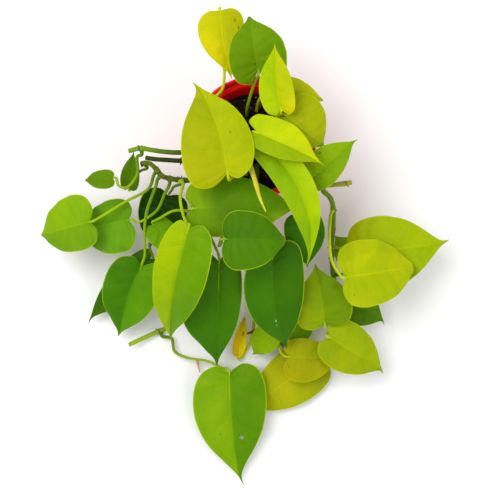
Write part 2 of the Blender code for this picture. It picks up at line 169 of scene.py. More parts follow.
class Graph:
    """One material's node tree, ending in a Principled shader."""

    def __init__(self, name: str) -> None:
        """Makes an empty material.

        Args:
            name: the material's name.
        """
        self.material = bpy.data.materials.new(name)
        self.material.use_nodes = True
        self.tree = self.material.node_tree
        self.shader = self.tree.nodes["Principled BSDF"]

    def node(self, kind: str, settings: dict[str, Any], sockets: dict[Union[str, int], Any],
             output: Union[str, int] = 0) -> Wire:
        """Adds any node.

        Args:
            kind: the node's type name.
            settings: properties of the node, set first.
            sockets: values or wires of its input sockets, by name or number.
            output: the output that is wanted.

        Returns:
            That output.
        """
        made = self.tree.nodes.new(kind)
        for key, value in settings.items():
            setattr(made, key, value)
        for key, value in sockets.items():
            self.plug(made.inputs[key], value)
        return Wire(self, made.outputs[output])

    def plug(self, socket: bpy.types.NodeSocket, value: Any) -> None:
        """Sets or links one input socket.

        Args:
            socket: the input.
            value: a wire, a number or a colour.
        """
        if isinstance(value, Wire):
            self.tree.links.new(value.socket, socket)
        elif isinstance(value, (tuple, list)) and len(value) == 3 and socket.type == "RGBA":
            socket.default_value = (*value, 1.0)
        else:
            socket.default_value = value

    def mix(self, share: Operand, first: Any, second: Any, how: str = "MIX") -> Wire:
        """Mixes two colours.

        Args:
            share: how much of the second.
            first: a colour or a wire.
            second: a colour or a wire.
            how: the blend type.

        Returns:
            The mixed colour.
        """
        return self.node("ShaderNodeMix", {"data_type": "RGBA", "blend_type": how},
                         {0: share, 6: first, 7: second}, 2)

    def place(self) -> Wire:
        """Position in the object's own space."""
        return self.node("ShaderNodeTexCoord", {}, {}, "Object")

    def scaled(self, colour: Wire, factors: Colour) -> Wire:
        """The colour times a factor for each channel."""
        return self.mix(1.0, colour, factors, "MULTIPLY")

    def grain(self, scale: float, detail: float = 2.0, rough: float = 0.5, bend: float = 0.0) -> Wire:
        """Noise over the object's own space, from 0 to 1.

        Args:
            scale: cells per metre.
            detail: octaves.
            rough: weight of the fine octaves.
            bend: distortion.

        Returns:
            The noise value.
        """
        return self.node("ShaderNodeTexNoise", {"noise_dimensions": "3D"},
                         {"Vector": self.place(), "Scale": scale, "Detail": detail, "Roughness": rough,
                          "Distortion": bend})

    def cells(self, scale: float, feature: str = "DISTANCE_TO_EDGE") -> Wire:
        """Voronoi distance over the object's own space.

        Args:
            scale: cells per metre.
            feature: which distance.

        Returns:
            The distance.
        """
        return self.node("ShaderNodeTexVoronoi", {"feature": feature},
                         {"Vector": self.place(), "Scale": scale}, "Distance")

    def layer(self, which: Layout) -> tuple[Wire, Wire]:
        """Both numbers of a mesh's coordinate layer.

        Args:
            which: the layer.

        Returns:
            Its first and second number.
        """
        pair = self.node("ShaderNodeUVMap", {"uv_map": which.value}, {})
        split = self.node("ShaderNodeSeparateXYZ", {}, {0: pair})
        return split, Wire(self, split.socket.node.outputs[1])

    def height(self) -> Wire:
        """Height above the ground in metres."""
        return self.node("ShaderNodeSeparateXYZ", {}, {0: self.place()}, 2)

    def bump(self, relief: Wire, depth: float, strength: float) -> Wire:
        """A normal from a relief of a depth in metres.

        Args:
            relief: height from 0 to 1.
            depth: what 1 stands for.
            strength: how strongly it shades.

        Returns:
            The bent normal.
        """
        return self.node("ShaderNodeBump", {}, {"Strength": strength, "Distance": depth, "Height": relief})

    def finish(self, colour: Any, roughness: Operand, normal: Optional[Wire] = None,
               **constants: Any) -> bpy.types.Material:
        """Feeds the shader.

        Args:
            colour: base colour.
            roughness: roughness.
            normal: bent normal.
            constants: values of other sockets by name, with underscores for spaces.

        Returns:
            The material.
        """
        self.plug(self.shader.inputs["Base Color"], colour)
        self.plug(self.shader.inputs["Roughness"], roughness)
        if normal is not None:
            self.plug(self.shader.inputs["Normal"], normal)
        for key, value in constants.items():
            self.plug(self.shader.inputs[key.replace("_", " ")], value)
        return self.material


def linear(colour: Colour, gain: float = 1.0) -> Colour:
    """A display colour of 0 to 255 as linear light.

    Args:
        colour: red, green and blue.
        gain: brightness factor.

    Returns:
        The colour for a shader.
    """
    return tuple(min(0.95, gain * (c / 255.0) ** 2.2) for c in colour)


# Finishes


@dataclass(frozen=True)
class LeafFinish:
    """Waxy leaf skin: two half tints with painted light and shade on one half, a paler midrib, veins and
    underside, mottling, a pale margin that is partly a painted edge highlight, and small marks, some of them
    painted shadows.
    """

    name: str
    # Half tints: the leaf's own colour, with painted light and shade making one half brighter than the other.
    right: Colour
    left: Colour
    length: float
    width: float
    marks: tuple[tuple[float, float, float, Colour], ...] = ()
    gain: float = 0.84
    roughness: float = 0.38

    def build(self) -> bpy.types.Material:
        """Makes the material.

        Returns:
            The material.
        """
        g = Graph(self.name)
        along, across = g.layer(Layout.RUN)
        under, _ = g.layer(Layout.SIDE)
        side = (across - 0.5) * 2.0
        out = abs(side)
        # The two halves' tints: the leaf's own colour, with painted light and shade making one half brighter
        # than the other.
        tint = g.mix(side.rise(-0.12, 0.12), linear(self.left, self.gain), linear(self.right, self.gain))
        blotch = g.grain(30.0, 3.0, 0.55, 0.6).rise(0.38, 0.66)
        tint = g.mix(blotch * 0.42, tint, g.scaled(tint, (0.60, 0.80, 0.50)))
        glow = g.grain(17.0, 1.0, 0.5, 0.3).rise(0.48, 0.70)
        tint = g.mix(glow * 0.50, tint, g.scaled(tint, (1.42, 1.18, 0.8)))
        fine = g.grain(260.0, 3.0, 0.6).rise(0.40, 0.66)
        tint = g.mix(fine * 0.14, tint, g.scaled(tint, (1.28, 1.12, 0.9)))
        rib = (1.0 - out.rise(0.0, 0.055)) * (1.0 - along.rise(0.80, 1.0, 0.0, 0.7))
        beat = abs((along * VEINS + (1.0 - out * VEIN_SWEEP)).fraction() - 0.5) * 2.0
        vein = beat.rise(0.90, 1.0) * (1.0 - out.rise(0.55, 0.95)) * out.rise(0.02, 0.10)
        net = (1.0 - g.cells(620.0).rise(0.0, 0.09)) * 0.35
        pale = g.scaled(tint, (1.40, 1.24, 1.3))
        tint = g.mix(rib * 0.55, tint, pale)
        tint = g.mix(vein * 0.34, tint, pale)
        tint = g.mix(net * (1.0 - out.rise(0.7, 1.0)) * 0.30, tint, pale)
        # Pale line along the margin: partly the leaf's own pale edge, partly a painted edge highlight.
        tint = g.mix(out.rise(0.955, 0.99) * 0.55, tint, linear((172, 196, 24)))
        tint = g.mix(under * 0.75, tint, g.mix(0.45, tint, (0.34, 0.44, 0.12)))
        tint = g.mix(along.rise(0.955, 1.0) * 0.7, tint, linear((124, 104, 30)))
        # Marks: real blemishes, and painted shadows where a leaf above shades this one.
        for u, v, size, colour in self.marks:
            du, dv = (along - u) * self.length, (side - v) * self.width
            spot = 1.0 - (du * du + dv * dv).root().rise(size * 0.45, size)
            tint = g.mix(spot * 0.9, tint, linear(colour))
        gloss = self.roughness + fine * 0.10 + vein * 0.05 + under * 0.16
        relief = g.cells(900.0).rise(0.0, 0.25) * 0.25 + fine * 0.3 + vein * -0.5 + g.grain(90.0, 2.0) * 3.0
        return g.finish(tint, gloss, g.bump(relief, 0.0004, 0.6), Specular_IOR_Level=0.13,
                        Specular_Tint=GREEN_SHEEN, Subsurface_Weight=0.06, Subsurface_Scale=0.002)


@dataclass(frozen=True)
class StemFinish:
    """Green stem that is older and browner at its start, with darker nodes and corky specks."""

    name: str
    old: Colour
    young: Colour
    turn: float = 0.5
    gain: float = 0.92
    roughness: float = 0.5
    bark: float = 0.34

    def build(self) -> bpy.types.Material:
        """Makes the material.

        Returns:
            The material.
        """
        g = Graph(self.name)
        along, _ = g.layer(Layout.RUN)
        ring, cut = g.layer(Layout.SIDE)
        wander = (g.grain(60.0, 3.0) - 0.5) * 0.25
        tint = g.mix((along + wander).rise(self.turn - 0.3, self.turn + 0.3), linear(self.old, self.gain),
                     linear(self.young, self.gain))
        streak = g.grain(420.0, 4.0, 0.65).rise(0.42, 0.70)
        tint = g.mix(streak * self.bark, tint, g.scaled(tint, (0.55, 0.62, 0.5)))
        speck = 1.0 - g.cells(520.0, "F1").rise(0.10, 0.22)
        tint = g.mix(speck * self.bark, tint, linear((150, 132, 70)))
        tint = g.mix(ring.rise(0.25, 0.95) * 0.75, tint, linear((52, 40, 18)))
        pith = g.mix(g.grain(900.0).rise(0.4, 0.6), linear((60, 44, 24)), linear((128, 112, 60)))
        tint = g.mix(cut.rise(0.4, 0.6), tint, pith)
        gloss = self.roughness + streak * 0.15 + ring * 0.2
        return g.finish(tint, gloss, g.bump(streak + speck * 0.8, 0.00025, 0.5), Specular_IOR_Level=0.15,
                        Specular_Tint=GREEN_SHEEN)


@dataclass(frozen=True)
class PotFinish:
    """Moulded red plastic: flow marks, fine scratches, and soil dust inside and low outside."""

    name: str = "pot_red_plastic"
    colour: Colour = (236, 5, 5)
    soil_line: float = 0.070

    def build(self) -> bpy.types.Material:
        """Makes the material.

        Returns:
            The material.
        """
        g = Graph(self.name)
        flow = g.grain(28.0, 2.0, 0.5, 1.2).rise(0.3, 0.7)
        tint = g.mix(flow * 0.35, linear(self.colour), linear((222, 3, 4)))
        grit = g.grain(700.0, 4.0, 0.7).rise(0.50, 0.72)
        inside, _ = g.layer(Layout.SIDE)
        high = g.height()
        crust = (1.0 - high.rise(self.soil_line - 0.001, self.soil_line + 0.006)) * inside
        foot = (1.0 - high.rise(0.0, 0.014)) * 0.35
        dirt = (crust + foot) * grit
        tint = g.mix(dirt * 0.85, tint, linear((58, 38, 24)))
        scuff = g.grain(150.0, 5.0, 0.75, 2.0).rise(0.60, 0.70)
        tint = g.mix(scuff * 0.12, tint, linear((232, 92, 84)))
        gloss = 0.27 + flow * 0.06 + scuff * 0.18 + dirt * 0.4
        relief = g.bump(grit * 0.3 + scuff * 0.4 + flow, 0.00015, 0.25)
        return g.finish(tint, gloss, relief, Specular_IOR_Level=0.3)


@dataclass(frozen=True)
class GritFinish:
    """A crumbly finish of two colours, for soil and what lies in it."""

    name: str
    dark: Colour
    light: Colour
    scale: float = 350.0
    roughness: float = 0.92

    def build(self) -> bpy.types.Material:
        """Makes the material.

        Returns:
            The material.
        """
        g = Graph(self.name)
        clump = g.grain(self.scale, 5.0, 0.7).rise(0.35, 0.72)
        spot = g.grain(self.scale * 3.0, 2.0, 0.6).rise(0.58, 0.70)
        tint = g.mix(clump, linear(self.dark), linear(self.light))
        tint = g.mix(spot * 0.4, tint, g.scaled(tint, (2.0, 1.7, 1.3)))
        relief = g.bump(clump + spot * 0.5, 0.0006, 0.7)
        return g.finish(tint, self.roughness - spot * 0.2, relief, Specular_IOR_Level=0.12)


@dataclass(frozen=True)
class FloorFinish:
    """Plain pale studio floor."""

    name: str = "studio_floor"

    def build(self) -> bpy.types.Material:
        """Makes the material.

        Returns:
            The material.
        """
        g = Graph(self.name)
        return g.finish(g.mix(g.grain(3.0, 2.0) * 0.2, (0.90, 0.90, 0.90), (0.87, 0.875, 0.88)), 0.85)


# Mesh tools


@dataclass
class Surface:
    """Faces under construction, each vertex with its two coordinate layers."""

    points: list[np.ndarray] = field(default_factory=list)
    run: list[np.ndarray] = field(default_factory=list)
    side: list[np.ndarray] = field(default_factory=list)
    faces: list[tuple[int, ...]] = field(default_factory=list)
    slots: list[int] = field(default_factory=list)
    count: int = 0

    def add(self, points: np.ndarray, run: np.ndarray, side: np.ndarray, faces: Iterable[Sequence[int]],
            slot: int = 0) -> None:
        """Adds one closed patch.

        Args:
            points: vertices in millimetres.
            run: the run layer of each.
            side: the side layer of each.
            faces: corners of each face.
            slot: material number.
        """
        self.points.append(np.asarray(points, float))
        self.run.append(np.asarray(run, float))
        self.side.append(np.asarray(side, float))
        for face in faces:
            self.faces.append(tuple(int(k) + self.count for k in face))
            self.slots.append(slot)
        self.count += len(points)

    def piece(self, name: str, materials: Sequence[bpy.types.Material],
              sharp: float = 48.0) -> bpy.types.Object:
        """Makes the scene object.

        Args:
            name: its name.
            materials: its material slots.
            sharp: angle in degrees from which an edge stays crisp.

        Returns:
            The object.
        """
        mesh = bpy.data.meshes.new(name)
        points = np.concatenate(self.points) * MM
        mesh.from_pydata(points.tolist(), [], self.faces)
        corners = np.empty(len(mesh.loops), dtype=np.int32)
        mesh.loops.foreach_get("vertex_index", corners)
        for layout, values in ((Layout.RUN, self.run), (Layout.SIDE, self.side)):
            layer = mesh.uv_layers.new(name=layout.value)
            layer.data.foreach_set("uv", np.concatenate(values)[corners].astype(np.float32).ravel())
        for material in materials:
            mesh.materials.append(material)
        mesh.polygons.foreach_set("material_index", self.slots)
        mesh.polygons.foreach_set("use_smooth", [True] * len(mesh.polygons))
        work = bmesh.new()
        work.from_mesh(mesh)
        bmesh.ops.recalc_face_normals(work, faces=work.faces[:])
        work.to_mesh(mesh)
        work.free()
        mesh.set_sharp_from_angle(angle=math.radians(sharp))
        made = bpy.data.objects.new(name, mesh)
        bpy.context.scene.collection.objects.link(made)
        return made


def smooth_path(points: Sequence[Point], steps: int) -> tuple[np.ndarray, np.ndarray]:
    """Catmull-Rom points through waypoints.

    Args:
        points: the waypoints.
        steps: points per span.

    Returns:
        The path, and the waypoint position from 0 to 1 of each point.
    """
    way = np.array([tuple(p) for p in points], float)
    way = np.vstack([2 * way[0] - way[1], way, 2 * way[-1] - way[-2]])
    spans = len(way) - 3
    t = np.arange(spans * steps + 1) / steps
    i = np.minimum(t.astype(int), spans - 1)
    f = (t - i)[:, None]
    a, b, c, d = (way[i + k] for k in range(4))
    cubic = (3 * b - a - 3 * c + d) * f ** 3
    path = 0.5 * (2 * b + (c - a) * f + (2 * a - 5 * b + 4 * c - d) * f ** 2 + cubic)
    return path, t / spans


def add_tube(surface: Surface, path: np.ndarray, radii: np.ndarray, run: np.ndarray, ring: np.ndarray,
             sides: int, slot: int, lobes: float = 0.0, cut: bool = False) -> None:
    """Adds a closed round tube, its rings carried along without twist.

    Args:
        surface: where it goes.
        path: centre line.
        radii: radius at each point.
        run: place from 0 to 1 at each point.
        ring: node darkness at each point.
        sides: points round it.
        slot: material number.
        lobes: depth of two shallow grooves, as a share of the radius.
        cut: whether its end is a cut face.
    """
    n = len(path)
    tangent = np.gradient(path, axis=0)
    tangent /= np.linalg.norm(tangent, axis=1)[:, None]
    across = np.cross(tangent[0], (0.3, 0.5, 0.81))
    rings = []
    angles = 2 * math.pi * np.arange(sides) / sides
    for i in range(n):
        across = across - tangent[i] * across.dot(tangent[i])
        across /= np.linalg.norm(across)
        other = np.cross(tangent[i], across)
        grow = radii[i] * (1 + lobes * np.cos(2 * angles))
        spread = np.outer(np.cos(angles) * grow, across) + np.outer(np.sin(angles) * grow, other)
        rings.append(path[i] + spread)
    points = np.vstack([*rings, path[:1] - tangent[:1] * radii[0] * 0.3,
                        path[-1:] + tangent[-1:] * radii[-1] * (0.0 if cut else 0.7)])
    runs = np.column_stack([np.repeat(run, sides), np.tile(angles / (2 * math.pi), n)])
    runs = np.vstack([runs, (run[0], 0.5), (run[-1], 0.5)])
    sidep = np.column_stack([np.repeat(ring, sides), np.zeros(n * sides)])
    sidep = np.vstack([sidep, (ring[0], 0), (ring[-1], 1.0 if cut else 0.0)])
    faces = []
    for i in range(n - 1):
        for k in range(sides):
            m = (k + 1) % sides
            faces.append((i * sides + k, i * sides + m, (i + 1) * sides + m, (i + 1) * sides + k))
    first, last = n * sides, n * sides + 1
    for k in range(sides):
        m = (k + 1) % sides
        faces.append((first, m, k))
        faces.append((last, (n - 1) * sides + k, (n - 1) * sides + m))
    surface.add(points, runs, sidep, faces, slot)


def lathe(surface: Surface, profile: Sequence[tuple[float, float, float]], sides: int, slot: int = 0) -> None:
    """Adds a solid of revolution.

    Args:
        surface: where it goes.
        profile: radius, height and side value of each ring; a radius of 0 is a point on the axis.
        sides: points round it.
        slot: material number.
    """
    angles = 2 * math.pi * np.arange(sides) / sides
    points, run, side, starts, sizes = [], [], [], [], []
    total = 0
    for radius, height, mark in profile:
        size = 1 if radius == 0 else sides
        use = angles[:size]
        points.append(np.column_stack([radius * np.cos(use), radius * np.sin(use), np.full(size, height)]))
        run.append(np.column_stack([use / (2 * math.pi), np.full(size, height / 100)]))
        side.append(np.column_stack([np.full(size, mark), np.zeros(size)]))
        starts.append(total)
        sizes.append(size)
        total += size
    faces = []
    for r in range(len(profile) - 1):
        for k in range(sides):
            m = (k + 1) % sides
            corners = [starts[r] + k % sizes[r], starts[r] + m % sizes[r],
                       starts[r + 1] + m % sizes[r + 1], starts[r + 1] + k % sizes[r + 1]]
            faces.append(list(dict.fromkeys(corners)))
    surface.add(np.vstack(points), np.vstack(run), np.vstack(side), faces, slot)


def settle(piece: bpy.types.Object, slot: str, *nodes: str) -> None:
    """Puts a piece on the part's one body.

    Args:
        piece: the piece.
        slot: the record's material slot; not used.
        nodes: the frame nodes that it stands for.
    """
    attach(piece, "root")
    drift = 0.0
    if nodes:
        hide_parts(*nodes)
        points = np.array([vertex.co[:] for vertex in piece.data.vertices])
        reach = np.array([points.min(axis=0), points.max(axis=0)])
        drift = np.abs(reach - np.array(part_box(nodes[0]))).max() / MM
    LOG.info("%s: %d faces, %.1f mm from its node's box", piece.name, len(piece.data.polygons), drift)


# Vines

VINE_RADIUS = 2.3
VINE_TAPER = 0.12
NODE_SWELL = 1.22
SOIL_TOP = 70.0
STALK_GAP = 0.35  # clear space between a vine and a stalk in the frame

VINES: dict[str, tuple[Point, ...]] = {
    "vine_left": (
        (-24, -6, 70.4), (-25, -6, 78), (-38, -10, 95), (-53, -14, 99), (-66, -15, 97.5), (-79, -14, 96),
        (-90, -12, 94), (-101, -10, 92), (-111, -12, 90)),
    "vine_left_low": (
        (-20, -16, 70.4), (-21, -17, 78), (-34, -28, 94), (-45, -36, 99), (-55, -39, 96), (-66, -38, 90),
        (-81, -33, 80), (-87, -26, 74), (-94, -19, 70), (-102, -18, 66)),
    "vine_front_left": (
        (-9, -22, 70.4), (-10, -24, 78), (-24, -38, 94), (-33, -48, 99), (-41, -60, 93), (-52, -78, 60),
        (-62, -98, 26), (-70, -122, 7), (-76, -145, 4), (-82, -161, 4.5), (-92, -166, 6), (-104, -172, 9),
        (-116, -178, 13)),
    "vine_front": (
        (2, -22, 70.4), (2, -24, 78), (1, -42, 95), (0, -53, 99), (-1, -63, 93), (-2, -78, 62),
        (0, -98, 26), (4, -120, 6), (6, -140, 3), (12, -158, 2.8), (26, -176, 2.8), (44, -190, 2.8),
        (66, -200, 2.8)),
    "vine_right": (
        (18, -14, 70.4), (19, -15, 78), (31, -27, 94), (43, -38, 98.3), (52, -44, 97.5), (60, -44, 96),
        (73, -43, 95), (85, -41, 94)),
    "vine_right_low": (
        (60, -46.8, 94), (61, -49, 92.2), (67, -54, 87), (70, -62, 76), (71, -76, 56), (71, -90, 34),
        (73, -106, 12), (76, -120, 3.6), (79, -136, 2.8), (84, -152, 2.8), (92, -168, 2.8),
        (100, -186, 2.8)),
    "stem_cut": (
        (-29, -13, 70.4), (-30, -13, 79), (-41, -18, 95), (-53, -22, 98.6), (-65, -22, 96),
        (-78, -20.5, 92.5), (-88, -19.5, 91), (-96, -18, 90)),
}


@dataclass
class Vine:
    """One stem from the soil over the rim, with swollen nodes, root buds and a cut or growing end."""

    name: str
    waypoints: tuple[Point, ...]
    joints: tuple[float, ...]
    finish: StemFinish
    radius: float = VINE_RADIUS
    spacing: float = 34.0
    cut: bool = True
    sides: int = 14

    def centre(self, spot: float) -> tuple[np.ndarray, np.ndarray]:
        """Point and direction on the frame's coarse path.

        Args:
            spot: place along it from 0 to 1.

        Returns:
            The point, and the unit direction of the vine there.
        """
        path, place = smooth_path(self.waypoints, 2)
        i = min(int(np.searchsorted(place, spot, side="right")) - 1, len(path) - 2)
        share = (spot - place[i]) / (place[i + 1] - place[i])
        along = path[i + 1] - path[i]
        return path[i] + along * share, along / np.linalg.norm(along)

    def build(self) -> bpy.types.Object:
        """Makes the stem's mesh.

        Returns:
            The stem.
        """
        path, place = smooth_path(self.waypoints, 14)
        length = np.concatenate([[0], np.cumsum(np.linalg.norm(np.diff(path, axis=0), axis=1))])
        marks = [float(np.interp(j, place, length)) for j in self.joints]
        free = [s for s in np.arange(18.0, length[-1] - 6, self.spacing)
                if all(abs(s - m) > 9 for m in marks)]
        swell = np.zeros(len(path))
        ring = np.zeros(len(path))
        for at in (*marks, *free):
            swell = np.maximum(swell, np.exp(-((length - at) / 3.2) ** 2))
            ring = np.maximum(ring, np.exp(-((length - at - 1.6) / 0.9) ** 2))
        behind = length[:, None] - np.array([*marks, *free])[None] - 1.6
        pinch = np.exp(-(behind / 0.8) ** 2).max(axis=1)
        radii = self.radius * (1 - VINE_TAPER * place) * (1 + (NODE_SWELL - 1) * swell - 0.07 * pinch)
        surface = Surface()
        add_tube(surface, path, radii, place, ring, self.sides, 0, 0.02, self.cut)
        self._buds(surface, path, length, radii, [*marks, *free])
        piece = surface.piece(self.name + "_stem", [self.finish.build()])
        settle(piece, "vine_stem", self.name)
        return piece

    def _buds(self, surface: Surface, path: np.ndarray, length: np.ndarray, radii: np.ndarray,
              marks: Sequence[float]) -> None:
        """Adds two small root buds under each node.

        Args:
            surface: where they go.
            path: the stem's centre line.
            length: distance along it.
            radii: its radius.
            marks: distances of the nodes.
        """
        for number, at in enumerate(marks):
            i = int(np.clip(np.searchsorted(length, at + 2.6), 1, len(path) - 2))
            along = path[i + 1] - path[i - 1]
            along /= np.linalg.norm(along)
            for turn in (0.0, 1.9):
                angle = 2.4 * number + turn
                out = np.array([math.cos(angle), math.sin(angle), -0.45])
                out -= along * out.dot(along)
                out /= np.linalg.norm(out)
                start = path[i] + out * radii[i] * 0.6
                if start[2] - 3.0 < 0.5 and out[2] < 0:
                    out[2] = abs(out[2])
                ways = np.array([start, start + out * radii[i] * 0.75,
                                 start + out * radii[i] * 1.15 + along * 0.5])
                add_tube(surface, ways, np.array([0.62, 0.5, 0.18]), np.array([0.0, 0.1, 0.3]),
                         np.array([0.5, 0.8, 0.5]), 7, 0)


# Leaves

# Half of a heart-shaped blade: margin along and across, and the midrib station that the row starts from.
MARGIN = np.array([
    (0.000, 0.00, 0.000), (-0.050, 0.20, 0.020), (-0.070, 0.45, 0.045), (-0.015, 0.78, 0.090),
    (0.115, 0.97, 0.170), (0.300, 1.00, 0.290), (0.500, 0.87, 0.460), (0.660, 0.63, 0.620),
    (0.790, 0.33, 0.770), (0.900, 0.09, 0.890), (1.000, 0.00, 1.000)])
LOBE_REACH = 0.07
LOBE_LENGTH = 0.35  # the share of the midrib beside which the lobes lie
CUP = 0.16  # how much the margin curves back down
STALK_RADIUS = 1.25
STALK_SUNK = 3.0  # how deep a stalk's foot stands in the soil
HOOK_POWER = 14  # keeps a hook to the drip tip


@dataclass(frozen=True)
class LeafShape:
    """One leaf: where its blade lies and how it bends, the stalk's way to it, and its two half tints: the
    leaf's own colour, with painted light and shade making one half brighter than the other.
    """

    name: str
    base: Point
    tip: Point
    right: float
    left: float
    roll: float
    fold: float
    arch: float
    sweep: float
    lobes: float
    full: float
    host: str
    spot: Union[float, tuple[float, float]]
    via: tuple[Point, ...]
    tone: Tone
    # Half tints: the leaf's own colour, with painted light and shade making one half brighter than the other.
    right_colour_and_shade: Colour
    left_colour_and_shade: Colour


